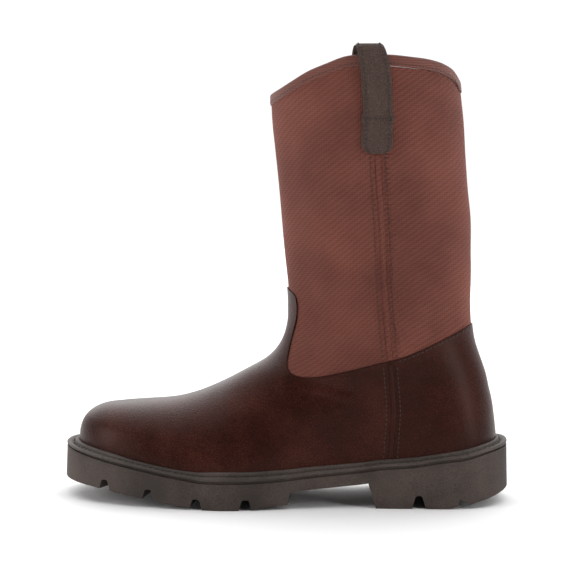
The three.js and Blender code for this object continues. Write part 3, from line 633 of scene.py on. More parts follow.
# Meshes. Places are in millimetres in the last's own frame until they are finished.
low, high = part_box("outsole")
at = np.linspace(0, 1, 400)
_, sole_centre, sole_half = outline(at, 0, 0)
SHIFT = np.array([low.x / MM + SOLE_LENGTH / 2, (low.y + high.y) / 2 / MM
                  - (np.max(sole_centre + sole_half) + np.min(sole_centre - sole_half)) / 2, 0])


def added(name, data):
    """New object in the scene."""
    made = bpy.data.objects.new(name, data)
    bpy.context.scene.collection.objects.link(made)
    return made


def mesh_object(name, points, faces, smooth_angle=40):
    """Object from points in millimetres and faces, shared corners merged, faces outwards."""
    points = (np.asarray(points, float) + SHIFT) * MM
    mesh = bpy.data.meshes.new(name)
    mesh.from_pydata(points.tolist(), [], [tuple(int(i) for i in face) for face in faces])
    work = bmesh.new()
    work.from_mesh(mesh)
    bmesh.ops.remove_doubles(work, verts=work.verts, dist=1e-7)
    bmesh.ops.dissolve_degenerate(work, edges=work.edges, dist=1e-7)
    loose = [v for v in work.verts if not v.link_faces]
    bmesh.ops.delete(work, geom=loose, context="VERTS")
    if work.calc_volume(signed=True) < 0:
        bmesh.ops.reverse_faces(work, faces=work.faces)
    work.to_mesh(mesh)
    work.free()
    made = added(name, mesh)
    shade(made, smooth_angle)
    return made


def shade(made, angle):
    made.data.polygons.foreach_set("use_smooth", [True] * len(made.data.polygons))
    made.data.set_sharp_from_angle(angle=math.radians(angle))


def settle(made):
    """Turns what the modifiers make into the object's own mesh."""
    depsgraph = bpy.context.evaluated_depsgraph_get()
    result = bpy.data.meshes.new_from_object(made.evaluated_get(depsgraph))
    made.modifiers.clear()
    made.data = result


def cut(made, cutter, operation, smooth_angle=40):
    """Boolean of two closed meshes; the cutter is used up."""
    modifier = made.modifiers.new("cut", "BOOLEAN")
    modifier.operation = operation
    modifier.solver = "MANIFOLD"
    modifier.object = cutter
    settle(made)
    bpy.data.objects.remove(cutter)
    shade(made, smooth_angle)
    return made


def wall(name, outer, inner, folds):
    """Wall between two offsets of the last, open underneath and at the collar."""
    below = relief(folds)
    count = GRID.shape[0] * GRID.shape[1]
    points = np.vstack([offset_sheet(outer, below), offset_sheet(inner, below)])
    faces = quads()
    sides = [faces, faces[:, ::-1] + count]
    for a, b in ((INDEX[:FIRST_CLOSED, 0], INDEX[1:FIRST_CLOSED + 1, 0]),
                 (INDEX[1:FIRST_CLOSED + 1, -1], INDEX[:FIRST_CLOSED, -1]),
                 (INDEX[-1, :-1], INDEX[-1, 1:])):
        sides.append(np.stack([a, a + count, b + count, b], -1))
    faces = np.vstack(sides)
    return mesh_object(name, points, [tidy_face(f) for f in faces])


def tidy_face(face):
    """The face without corners that it names twice in a row."""
    kept = [v for i, v in enumerate(face) if v != face[i - 1]]
    return kept if len(kept) > 2 else list(face[:3])


def filled(name, offset, drop):
    """The whole last as one closed form, for cutting."""
    points = offset_sheet(offset)
    faces = [tidy_face(f) for f in quads()]
    count = len(points)
    rims = []
    for k in range(FIRST_CLOSED + 1):
        for place in (INDEX[k, 0], INDEX[k, -1]):
            rims.append(points[place] - (0, 0, drop))
    for k in range(FIRST_CLOSED):
        a = count + 2 * k
        faces.append(tidy_face([INDEX[k, 0], a, a + 2, INDEX[k + 1, 0]]))
        faces.append([a, a + 1, a + 3, a + 2])
        faces.append(tidy_face([a + 1, INDEX[k, -1], INDEX[k + 1, -1], a + 3]))
    top = INDEX[-1]
    for j in range(COLUMNS):
        faces.append(tidy_face([top[j], top[ROW - 1 - j], top[ROW - 2 - j], top[j + 1]]))
    return mesh_object(name, np.vstack([points, rims]), faces)


REACH = SOLE_LENGTH


def ring_faces(count, n, closed=False):
    """Faces between count rings of n points, and from the last ring to the first if closed."""
    faces = []
    for ring in range(count if closed else count - 1):
        after = (ring + 1) % count
        for i in range(n):
            j = (i + 1) % n
            faces.append([ring * n + i, ring * n + j, after * n + j, after * n + i])
    return faces


def tube(rings):
    """Points and faces of a closed tube through rings of points, stations x ring x 3."""
    count, n, _ = rings.shape
    ends = [list(range(n))[::-1], list(range((count - 1) * n, count * n))]
    return rings.reshape(-1, 3), ends + ring_faces(count, n)


def bar(line, y_from=-REACH, y_to=REACH, swing=0):
    """Prism across the boot whose outline is drawn in the side view, at the sole's edge. swing
    moves it toward the heel on its way to the boot's middle, into a wide V in plan."""
    line = np.asarray(line, float)
    side = float(outline(np.clip(share(line[0][0]), 0, 1), 0, 0)[2])
    stations = [y_from, y_to] if swing == 0 else [y_from, 0, y_to]
    rings = [[(x + swing * (side - abs(y)), y, z) for x, z in line] for y in stations]
    return mesh_object("cutter", *tube(np.array(rings)))


def shifted(line, distance):
    """The line moved sideways by distance, to its left."""
    line = np.asarray(line, float)
    run = np.gradient(line, axis=0)
    run /= np.linalg.norm(run, axis=1, keepdims=True)
    return line + np.stack([-run[:, 1], run[:, 0]], -1) * distance


edge_line = side_view(LEATHER_EDGE, EDGE_STEPS)


def leather_edge(line):
    start = (line[0][0] - REACH, line[0][1] + TAB_SLOPE * REACH)
    end = (line[-1][0] + REACH, line[-1][1])
    return [start, *map(tuple, line), end]


def collar_line(drop):
    x = np.linspace(COLLAR_FRONT, COLLAR_BACK, COLLAR_STEPS)
    z = collar_z(x) - drop
    return [(x[0] - REACH, z[0]), *zip(x, z), (x[-1] + REACH, z[-1])]


def below_line(line):
    return [*line, (2 * REACH, -REACH), (-2 * REACH, -REACH)]


def above_line(line):
    return [*line, (2 * REACH, 3 * REACH), (-2 * REACH, 3 * REACH)]


def surface(x, z, side, out=0.0):
    """Point on the last at x, z of the side view, moved out along the surface's normal."""
    step = 0.4

    def place(px, pz):
        centre, half = last(px, pz)
        return np.stack([px, centre + side * half, pz], -1)

    along = place(x + step, z) - place(x - step, z)
    up = place(x, z + step) - place(x, z - step)
    normal = np.cross(along, up) * -side
    normal /= np.maximum(np.linalg.norm(normal, axis=-1, keepdims=True), 1e-9)
    return place(x, z) + normal * out


def resampled(line, pitch):
    line = np.asarray(line, float)
    run = np.concatenate([[0], np.cumsum(np.linalg.norm(np.diff(line, axis=0), axis=1))])
    count = max(int(round(run[-1] / pitch)), 2)
    at = np.linspace(0, run[-1], count + 1)
    return np.stack([np.interp(at, run, line[:, k]) for k in range(line.shape[1])], -1)


def ridge(line, side, section):
    """Raised strip along a line of the side view. section lists (across, out) in millimetres."""
    line = resampled(line, 1.2)
    run = np.gradient(line, axis=0)
    run /= np.linalg.norm(run, axis=1, keepdims=True)
    across = np.stack([-run[:, 1], run[:, 0]], -1)
    rings = []
    for a, out in section:
        place = line + across * a
        rings.append(surface(place[:, 0], place[:, 1], side, out))
    return tube(np.stack(rings, 1))


def half_round(width, rise, sink, steps=8):
    """Section of a raised seam: a round back on a flat foot sunk a little into the surface."""
    turns = np.linspace(0, math.pi, steps + 1)
    arch = [(width / 2 * math.cos(t), rise * math.sin(t)) for t in turns]
    return [*arch, (-width / 2, -sink), (width / 2, -sink)]


# Colours and materials
def linear(hex_colour):
    """sRGB hex as linear red, green, blue, alpha."""
    parts = [int(hex_colour[i:i + 2], 16) / 255 for i in (1, 3, 5)]
    return (*[c / 12.92 if c <= 0.04045 else ((c + 0.055) / 1.055) ** 2.4 for c in parts], 1)


def output(source):
    """A node stands for its first output."""
    return source.outputs[0] if isinstance(source, bpy.types.Node) else source


def node(tree, kind, values=None, links=None, **settings):
    """Adds one node: settings are its properties, values its sockets, links what feeds them."""
    made = tree.nodes.new(kind)
    for name, value in settings.items():
        setattr(made, name, value)
    for socket, value in (values or {}).items():
        made.inputs[socket].default_value = value
    for socket, source in (links or {}).items():
        tree.links.new(output(source), made.inputs[socket])
    return made


def new_material(name, **sockets):
    material = bpy.data.materials.new(name)
    material.use_nodes = True
    tree = material.node_tree
    shader = tree.nodes["Principled BSDF"]
    for socket, value in sockets.items():
        shader.inputs[socket.replace("_", " ")].default_value = value
    return material, tree, shader


def ramp(tree, source, stops):
    """Colour over a value, from stops of place and sRGB hex."""
    made = node(tree, "ShaderNodeValToRGB", links={"Fac": source})
    elements = made.color_ramp.elements
    while len(elements) < len(stops):
        elements.new(0.5)
    for element, (place, colour) in zip(elements, stops):
        element.position = place
        element.color = linear(colour)
    return made


def wire(tree, shader, **sources):
    """Feeds the shader's sockets; a socket's name has _ for a space."""
    for socket, source in sources.items():
        tree.links.new(output(source), shader.inputs[socket.replace("_", " ")])


GRAIN = 1.8  # millimetres between the pebbles of the full-grain leather
CREASE = 1.7  # millimetres between its fine flex wrinkles, drawn a little coarse so that they show


def foot_leather():
    """Full-grain cowhide, drum-milled and waxed: pebbled, with a soft broad gloss."""
    material, tree, shader = new_material(
        "full_grain_leather", IOR=1.45, Coat_Weight=0.05, Coat_Roughness=0.26,
        Specular_IOR_Level=0.3, Specular_Tint=linear("#c89080"))
    place = node(tree, "ShaderNodeTexCoord").outputs["Object"]
    bend = node(tree, "ShaderNodeTexNoise", {"Scale": 1 / (4 * MM), "Detail": 2.0}, {"Vector": place})
    wander = node(tree, "ShaderNodeVectorMath", {1: (0.0009, 0.0009, 0.0009)},
                  {0: bend.outputs["Color"]}, operation="MULTIPLY")
    warped = node(tree, "ShaderNodeVectorMath", links={0: place, 1: wander}, operation="ADD")
    pebble = node(tree, "ShaderNodeTexVoronoi", {"Scale": 1 / (GRAIN * MM), "Randomness": 0.95},
                  {"Vector": warped}, feature="DISTANCE_TO_EDGE")
    dome = node(tree, "ShaderNodeMapRange", {"From Max": 0.28}, {"Value": pebble.outputs["Distance"]},
                interpolation_type="SMOOTHSTEP")
    lean = node(tree, "ShaderNodeMapping", {"Rotation": (0, math.radians(-35), 0),
                                            "Scale": (CREASE * MM, 9 * MM, 8 * MM)},
                {"Vector": warped}, vector_type="TEXTURE")
    wrinkle = node(tree, "ShaderNodeTexNoise", {"Scale": 1.0, "Detail": 2.0, "Roughness": 0.45},
                   {"Vector": lean})
    flex = node(tree, "ShaderNodeAttribute", attribute_name="flex").outputs["Fac"]
    crease = node(tree, "ShaderNodeMath", links={0: wrinkle, 1: flex}, operation="MULTIPLY")
    pebbles = node(tree, "ShaderNodeMath", {1: 0.3}, {0: dome}, operation="MULTIPLY")
    surface_height = node(tree, "ShaderNodeMath", links={0: pebbles, 1: crease},
                          operation="ADD")
    bump = node(tree, "ShaderNodeBump", {"Strength": 0.55, "Distance": 0.00045},
                {"Height": surface_height})
    cloud = node(tree, "ShaderNodeTexNoise", {"Scale": 1 / (38 * MM), "Detail": 4.0, "Roughness": 0.55},
                 {"Vector": place})
    tone = ramp(tree, cloud, [(0.3, "#29130f"), (0.52, "#371a15"),
                                             (0.75, "#48251d")])
    # Colour darkened towards the crevices between the pebbles, down to 0.55 at their edges: painted shade.
    crevice_shade = node(tree, "ShaderNodeMapRange", {"To Min": 0.55, "To Max": 1.0}, {"Value": dome})
    tone_with_crevice_shade = node(tree, "ShaderNodeVectorMath", links={0: tone, 3: crevice_shade}, operation="SCALE")
    sheen = node(tree, "ShaderNodeMapRange", {"To Min": 0.36, "To Max": 0.48},
                 {"Value": cloud})
    wire(tree, shader, Base_Color=tone_with_crevice_shade, Roughness=sheen, Normal=bump)
    return material


def wave_scale(period):
    """Scale of a wave texture whose bands lie a period apart."""
    return math.tau / (20 * period)


WEAVE = 1.3  # millimetres between the threads of the heavy nylon, drawn coarse so that they show
TWILL = 3.2  # millimetres between the soft diagonal lines across it


def shaft_nylon():
    """Heavy woven nylon with a soft diagonal line: matt, with a slight fuzz at its edges."""
    material, tree, shader = new_material(
        "woven_nylon", IOR=1.46, Roughness=0.82, Sheen_Weight=0.25, Sheen_Roughness=0.4,
        Sheen_Tint=linear("#a86a5a"))
    place = node(tree, "ShaderNodeUVMap", uv_map="weave").outputs["UV"]
    warp, weft = (node(tree, "ShaderNodeTexWave", {"Scale": wave_scale(WEAVE), "Distortion": 0.6,
                                                   "Detail": 1.0}, {"Vector": place},
                       wave_type="BANDS", bands_direction=way) for way in ("X", "Y"))
    threads = node(tree, "ShaderNodeMath", links={0: warp.outputs["Fac"], 1: weft.outputs["Fac"]},
                   operation="MULTIPLY")
    lean = node(tree, "ShaderNodeMapping", {"Rotation": (0, 0, math.radians(-57))}, {"Vector": place})
    twill = node(tree, "ShaderNodeTexWave", {"Scale": wave_scale(TWILL), "Distortion": 1.6,
                                             "Detail": 2.0, "Detail Scale": 0.6}, {"Vector": lean},
                 wave_type="BANDS", bands_direction="X")
    pucker = node(tree, "ShaderNodeAttribute", attribute_name="pucker").outputs["Fac"]
    bands = node(tree, "ShaderNodeMath", {1: 0.5}, {0: twill.outputs["Fac"]}, operation="MULTIPLY")
    both = node(tree, "ShaderNodeMath", links={0: threads, 1: bands}, operation="ADD")
    all_three = node(tree, "ShaderNodeMath", links={0: both, 1: pucker}, operation="ADD")
    bump = node(tree, "ShaderNodeBump", {"Strength": 0.8, "Distance": 0.0006},
                {"Height": all_three})
    where = node(tree, "ShaderNodeTexCoord").outputs["Object"]
    cloud = node(tree, "ShaderNodeTexNoise", {"Scale": 1 / (55 * MM), "Detail": 3.0}, {"Vector": where})
    tone = ramp(tree, cloud, [(0.3, "#5c2b20"), (0.7, "#7a4234")])
    fleck = node(tree, "ShaderNodeTexNoise", {"Scale": 1 / (0.8 * MM), "Detail": 2.0}, {"Vector": where})
    # Colour darker between the threads and in the twill's hollows and lighter on their crowns: painted
    # shade and highlight. The flecks are the cloth's own mottle.
    weave_shade_and_highlight = node(tree, "ShaderNodeMapRange", {"To Min": 0.62, "To Max": 1.25}, {"Value": both})
    flecked = node(tree, "ShaderNodeMapRange", {"To Min": 0.86, "To Max": 1.14},
                   {"Value": fleck})
    depth = node(tree, "ShaderNodeMath", links={0: weave_shade_and_highlight, 1: flecked},
                 operation="MULTIPLY")
    colour = node(tree, "ShaderNodeVectorMath", links={0: tone, 3: depth}, operation="SCALE")
    wire(tree, shader, Base_Color=colour, Normal=bump)
    return material


def strap_hide():
    """Split-faced grey-brown leather of the pull straps: dry, pebbled, matt."""
    material, tree, shader = new_material(
        "strap_leather", IOR=1.5, Roughness=0.62, Specular_IOR_Level=0.25)
    place = node(tree, "ShaderNodeTexCoord").outputs["Object"]
    pebble = node(tree, "ShaderNodeTexVoronoi", {"Scale": 1 / (1.1 * MM)}, {"Vector": place},
                  feature="DISTANCE_TO_EDGE")
    fine = node(tree, "ShaderNodeTexNoise", {"Scale": 1 / (0.7 * MM), "Detail": 3.0}, {"Vector": place})
    rough = node(tree, "ShaderNodeMath", links={0: pebble.outputs["Distance"], 1: fine},
                 operation="ADD")
    bump = node(tree, "ShaderNodeBump", {"Strength": 1.0, "Distance": 0.0014}, {"Height": rough})
    tone = ramp(tree, fine, [(0.3, "#3a2a25"), (0.7, "#5e4b43")])
    wire(tree, shader, Base_Color=tone, Normal=bump)
    return material


RIB = 0.8  # millimetres between the ribs of the binding tape, drawn coarse so that they show


def ribbed_tape():
    """Ribbed polyester tape folded over the collar: matt."""
    material, tree, shader = new_material("ribbed_tape", IOR=1.46, Roughness=0.8, Sheen_Weight=0.2)
    place = node(tree, "ShaderNodeUVMap", uv_map="weave").outputs["UV"]
    ribs = node(tree, "ShaderNodeTexWave", {"Scale": wave_scale(RIB), "Distortion": 0.8},
                {"Vector": place}, wave_type="BANDS", bands_direction="X")
    rows = node(tree, "ShaderNodeTexWave", {"Scale": wave_scale(2 * RIB), "Distortion": 0.4},
                {"Vector": place}, wave_type="BANDS", bands_direction="Y")
    both = node(tree, "ShaderNodeMath", links={0: ribs.outputs["Fac"], 1: rows.outputs["Fac"]},
                operation="ADD")
    bump = node(tree, "ShaderNodeBump", {"Strength": 0.5, "Distance": 0.0003}, {"Height": both})
    # Colour darker in the grooves between the ribs and lighter on their crowns: painted shade and
    # highlight.
    tone = ramp(tree, both, [(0.2, "#4a2720"), (1.0, "#703f34")])
    wire(tree, shader, Base_Color=tone, Normal=bump)
    return material


def moulded_rubber(name, low_tone, high_tone, roughness):
    """Compression-moulded rubber: dull, with the mould's spark-eroded texture."""
    material, tree, shader = new_material(
        name, IOR=1.52, Roughness=roughness, Specular_IOR_Level=0.35)
    place = node(tree, "ShaderNodeTexCoord").outputs["Object"]
    grit = node(tree, "ShaderNodeTexNoise", {"Scale": 1 / (1.1 * MM), "Detail": 4.0, "Roughness": 0.65},
                {"Vector": place})
    cloud = node(tree, "ShaderNodeTexNoise", {"Scale": 1 / (30 * MM), "Detail": 2.0}, {"Vector": place})
    both = node(tree, "ShaderNodeMath", links={0: grit, 1: cloud},
                operation="MULTIPLY")
    bump = node(tree, "ShaderNodeBump", {"Strength": 0.4, "Distance": 0.0003},
                {"Height": grit})
    tone = ramp(tree, both, [(0.14, low_tone), (0.36, high_tone)])
    wire(tree, shader, Base_Color=tone, Normal=bump)
    return material


def spun_thread(name, colour):
    """Bonded nylon sewing thread: smooth, with a small sheen."""
    material, tree, shader = new_material(name, IOR=1.5, Roughness=0.55)
    place = node(tree, "ShaderNodeTexCoord").outputs["Object"]
    fray = node(tree, "ShaderNodeTexNoise", {"Scale": 1 / (0.6 * MM), "Detail": 2.0}, {"Vector": place})
    bright = node(tree, "ShaderNodeMapRange", {"To Min": 0.75, "To Max": 1.3}, {"Value": fray})
    shade_of = node(tree, "ShaderNodeVectorMath", {0: linear(colour)[:3]}, {3: bright},
                    operation="SCALE")
    wire(tree, shader, Base_Color=shade_of)
    return material


def brushed_lining():
    """Brushed cloth on the footbed: matt."""
    material, tree, shader = new_material("footbed_cloth", IOR=1.45, Roughness=0.9, Sheen_Weight=0.3)
    place = node(tree, "ShaderNodeTexCoord").outputs["Object"]
    nap = node(tree, "ShaderNodeTexNoise", {"Scale": 1 / (1.5 * MM), "Detail": 4.0}, {"Vector": place})
    bump = node(tree, "ShaderNodeBump", {"Strength": 0.4, "Distance": 0.0004}, {"Height": nap})
    tone = ramp(tree, nap, [(0.3, "#5b5048"), (0.7, "#7d7167")])
    wire(tree, shader, Base_Color=tone, Normal=bump)
    return material


LEATHER = foot_leather()
NYLON = shaft_nylon()
STRAP_LEATHER = strap_hide()
TAPE = ribbed_tape()
RUBBER = moulded_rubber("moulded_rubber", "#312824", "#4c403a", 0.72)
WELTING = moulded_rubber("welt_rubber", "#302824", "#4e433d", 0.6)
DARK_THREAD = spun_thread("dark_thread", "#2a1712")
BROWN_THREAD = spun_thread("brown_thread", "#351710")
WELT_THREAD = spun_thread("welt_thread", "#342b27")
LINING = brushed_lining()


def finish(made, material, slot, *nodes):
    """Gives a piece its material and its body, and hides the solids that it stands for; slot is not used.
    """
    made.data.materials.clear()
    made.data.materials.append(material)
    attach(made, "root")
    if nodes:
        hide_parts(*nodes)
    return made


def point_values(made, name, values):
    attribute = made.data.attributes.new(name, "FLOAT", "POINT")
    attribute.data.foreach_set("value", np.asarray(values, np.float32))


LEG_RADIUS = 60


def mesh_values(items, name, kind=np.int32, size=1):
    """One property of all of a mesh's items as an array."""
    flat = np.empty(size * len(items), kind)
    items.foreach_get(name, flat)
    return flat


def places(made):
    """The piece's points in millimetres in the last's frame."""
    return mesh_values(made.data.vertices, "co", float, 3).reshape(-1, 3) / MM - SHIFT


def wrap_uv(made):
    """UV map in millimetres round the leg and up it, with its seam at the back."""
    points = places(made)
    loops = mesh_values(made.data.loops, "vertex_index")
    turn = np.arctan2(points[:, 1], MIDDLE_X - points[:, 0])
    around = turn[loops]
    starts = mesh_values(made.data.polygons, "loop_start")
    totals = mesh_values(made.data.polygons, "loop_total")
    face = np.repeat(np.arange(len(starts)), totals)
    highest = np.maximum.reduceat(around, starts)
    lowest = np.minimum.reduceat(around, starts)
    crosses = (highest - lowest)[face] > math.pi
    around = np.where(crosses & (around < 0), around + math.tau, around)
    uv = np.stack([around * LEG_RADIUS, points[loops, 2]], -1)
    layer = made.data.uv_layers.new(name="weave")
    layer.data.foreach_set("uv", uv.astype(np.float32).ravel())


# Where the leather flexes into fine wrinkles, in millimetres of the side view
FLEX = table("x z wide tall amount", [
    (-8, 60, 42, 30, 1),
    (96, 86, 14, 14, 0.6),
    (24, 78, 22, 10, 0.5),
])
FLEX_EVERYWHERE = 0.18
FLEX_MOST = 1.2
# Puckers of the cloth beside its side seam
PUCKERS = table("aside wide amount", [(6, 2.6, 1.6), (-6, 2.0, 0.5)])
PUCKER_PITCH = 3.4


def bell(t):
    return np.exp(-t * t)


def make_upper():
    made = wall("foot_leather", LEATHER_STEP, LEATHER_STEP - UPPER_WALL, FOLDS)
    cut(made, bar(above_line(leather_edge(edge_line))), "DIFFERENCE")
    points = places(made)
    x, z = points[:, 0], points[:, 2]
    flex = sum(row["amount"] * bell((x - row["x"]) / row["wide"]) * bell((z - row["z"]) / row["tall"])
               for row in FLEX)
    point_values(made, "flex", np.clip(FLEX_EVERYWHERE + flex, 0, FLEX_MOST))
    return finish(made, LEATHER, "foot_leather", "upper")


def make_shaft():
    made = wall("woven_shaft", 0, -SHAFT_WALL, DRAPE)
    cut(made, bar(below_line(leather_edge(shifted(edge_line, CLEARANCE)))), "DIFFERENCE")
    cut(made, bar(above_line(collar_line(BINDING_HEIGHT + CLEARANCE))), "DIFFERENCE")
    points = places(made)
    gap = points[:, 0] - seam_x(points[:, 2])
    ripple = np.sin(points[:, 2] * math.tau / PUCKER_PITCH)
    beside = sum(row["amount"] * bell((gap - row["aside"]) / row["wide"]) for row in PUCKERS)
    point_values(made, "pucker", ripple * beside)
    wrap_uv(made)
    return finish(made, NYLON, "shaft_cloth", "shaft")


# Tape folded over the collar
BINDING_STATIONS = 260
BINDING_TUCK = 0.35


def make_binding():
    turn = np.arange(BINDING_STATIONS) / BINDING_STATIONS * math.tau
    s = (1 - np.cos(turn)) / 2
    side = np.where(turn < math.pi, -1, 1)
    outer, inner = BINDING_STEP, -SHAFT_WALL - BINDING_STEP
    middle, radius = (outer + inner) / 2, (outer - inner) / 2
    section = [(outer - BINDING_TUCK, BINDING_HEIGHT), (outer, BINDING_HEIGHT - 0.5)]
    section += [(outer, d) for d in np.linspace(BINDING_HEIGHT - 1.5, radius, 5)]
    section += [(middle + radius * math.cos(t), radius - radius * math.sin(t))
                for t in np.linspace(0, math.pi, 9)[1:-1]]
    section += [(inner, d) for d in np.linspace(radius, BINDING_HEIGHT - 0.5, 5)]
    section += [(inner + BINDING_TUCK, BINDING_HEIGHT)]
    rings = []
    for out, depth in section:
        z = collar_z(mix(COLLAR_BACK, COLLAR_FRONT, s)) - depth
        x = mix(back_x(z), front_x(z), s)
        centre, half = last(x, z)
        place = np.stack([x, centre + side * half, z], -1)
        ahead = np.roll(place, -1, 0) - np.roll(place, 1, 0)
        normal = np.stack([ahead[:, 1], -ahead[:, 0]], -1)
        normal /= np.linalg.norm(normal, axis=1, keepdims=True)
        away = np.sign(np.sum(normal * (place[:, :2] - (MIDDLE_X, 0)), 1, keepdims=True))
        place[:, :2] += normal * away * out
        rings.append(place)
    rings = np.stack(rings, 1)
    faces = ring_faces(BINDING_STATIONS, rings.shape[1], closed=True)
    made = mesh_object("collar_tape", rings.reshape(-1, 3), faces, 50)
    wrap_uv(made)
    return finish(made, TAPE, "binding_tape", "collar_binding")


def edge_at_seam():
    behind = edge_line[edge_line[:, 0] > 0.1 * SOLE_LENGTH]
    return float(np.interp(seam_x(INSTEP_HEIGHT), behind[:, 0], behind[:, 1]))


SEAM_SPLIT = edge_at_seam()
SEAM_AT_WELT = seam_x(TOE_FEATHER)
SEAM_AT_TOP = seam_x(BOOT_HEIGHT)
SEAM_FOOT = float(sole_top(SEAM_AT_WELT) + welt_rise(SEAM_AT_WELT) + 3 * CLEARANCE)
SEAM_TOP = float(collar_z(SEAM_AT_TOP) + STRAP[0]["up"] * STRAP_RISE - SEAM_GAP)
SEAM_FLEX = 0.2
SIDES = {"outer": -1, "inner": 1}


def seam_path(z_from, z_to, aside=0.0):
    z = np.linspace(z_from, z_to, LINE_STEPS)
    return np.stack([seam_x(z) + aside, z], -1)


def make_seams():
    section = half_round(PIPING_WIDTH, PIPING_HEIGHT, 0.3)
    for name, side in SIDES.items():
        for part, base, z_from, z_to, material, slot in (
                ("shaft", 0.0, SEAM_SPLIT + SEAM_GAP, SEAM_TOP, NYLON, "shaft_cloth"),
                ("foot", LEATHER_STEP, SEAM_FOOT, SEAM_SPLIT - SEAM_GAP, LEATHER, "foot_leather")):
            lifted = [(a, out + base) for a, out in section]
            points, faces = ridge(seam_path(z_from, z_to), side, lifted)
            made = mesh_object(f"piping_{part}_{name}", points, faces, 60)
            if part == "shaft":
                wrap_uv(made)
            else:
                point_values(made, "flex", np.full(len(made.data.vertices), SEAM_FLEX))
            finish(made, material, slot, f"seam_{part}_{name}")


# Pull straps
strap_size, strap_aside = (spline([(row["out"], row["up"], row[name]) for row in STRAP], STRAP_STEPS)
                           for name in ("width", "aside"))
strap_aside = strap_aside[:, 2]
EAR_ROW = -6.0  # strap rises below the collar, where the strap is sewn down across its width
EAR = {"out": 0.13, "tall": 0.32}


def strap_surface(side, across, out_by):
    """Points of the strap: across runs from -0.5 to 0.5, out_by from its middle layer."""
    up = strap_size[:, 1]
    centre = strap_size[:, :2] * STRAP_RISE
    run = np.gradient(centre, axis=0)
    run /= np.linalg.norm(run, axis=1, keepdims=True)
    normal = np.stack([run[:, 1], -run[:, 0]], -1)
    place = centre + normal * out_by
    width = STRAP_WIDTH * (strap_size[:, 2] + EAR["out"] * bell((up - EAR_ROW) / EAR["tall"]))
    z = collar_z(SEAM_AT_TOP) + place[:, 1]
    x = SEAM_AT_TOP + strap_aside * STRAP_RISE + across * width
    under_centre, under_half = last(x, np.minimum(z, collar_z(x)))
    return np.stack([x, under_centre + side * (under_half + place[:, 0]), z], -1)


def make_straps():
    edge = STRAP_THICKNESS / 2
    section = []
    for t in np.linspace(-0.5, 0.5, 15):
        section.append((t, edge * rounded(abs(2 * t), 9)))
    section += [(t, -out) for t, out in reversed(section[1:-1])]
    for name, side in SIDES.items():
        rings = np.stack([strap_surface(side, t, out) for t, out in section], 1)
        points, faces = tube(rings)
        made = mesh_object(f"pull_strap_leather_{name}", points, faces, 55)
        finish(made, STRAP_LEATHER, "strap_leather", f"pull_strap_{name}")


# Sole
STATIONS = 150


def sole_loop(side, end, z):
    """Outline of the sole, side and end millimetres inside its edge, at the height z(x)."""
    turn = np.arange(2 * STATIONS) / STATIONS * math.pi
    s = (1 - np.cos(turn)) / 2
    x, centre, half = outline(s, side, end)
    sign = np.where(turn < math.pi, -1, 1)
    return np.stack([x, centre + sign * half, z(x)], -1)


def stack(name, loops, smooth_angle=40):
    """Solid from loops of the sole's outline, one over the other, closed below and above."""
    n = 2 * STATIONS
    faces = ring_faces(len(loops), n)
    for first, flip in ((0, True), ((len(loops) - 1) * n, False)):
        for i in range(STATIONS):
            face = tidy_face([first + i, first + i + 1, first + (n - i - 1) % n, first + (n - i) % n])
            faces.append(face[::-1] if flip else face)
    return mesh_object(name, np.vstack(loops), faces, smooth_angle)


NOTCHES = table("at swing", [
    (0.11, 0.28),
    (0.2165, 0.09),
    (0.3235, 0.03),
    (0.4285, -0.1),
])
GROOVE_ENDS = {"toe": 0.14, "heel": 0.1, "least": 0.2}
HEEL_NOTCH = 0.802
HEEL_WEDGE = 0.885
NOTCH_ROUND = 0.28
EDGE_ROUND = 0.7
CHANNEL_START = 0.165
ARCH = {"front": 0.514, "rise": 0.5245, "breast_top": 0.693, "breast_foot": 0.716}


def sole_place(at):
    return (at - 0.5) * SOLE_LENGTH


def notch(x, mouth, root, depth, swing):
    floor = float(underside(x))
    flare = (mouth - root) / 2 * (LUG_DEPTH / depth)
    bend = NOTCH_ROUND * depth
    corner = [(root / 2 - bend + bend * math.cos(t), floor + depth - bend + bend * math.sin(t))
              for t in np.linspace(0, math.pi / 2, 6)]
    half = [(mouth / 2 + flare, floor - LUG_DEPTH), *corner]
    line = half + [(-w, z) for w, z in reversed(half)]
    return bar([(x + w, z) for w, z in line], -BALL_WIDTH, BALL_WIDTH, swing)


def wedge(x):
    return bar([(x, -LUG_DEPTH), (x, 0), (x + 0.2 * WEDGE_DEPTH, WEDGE_DEPTH),
                (x + WEDGE_LENGTH, 0), (x + WEDGE_LENGTH, -LUG_DEPTH)], -BALL_WIDTH, BALL_WIDTH)


def groove_height(x):
    at = share(x)
    full = smooth(at / GROOVE_ENDS["toe"]) * smooth((1 - at) / GROOVE_ENDS["heel"])
    return GROOVE_HEIGHT * mix(GROOVE_ENDS["least"], 1, full)


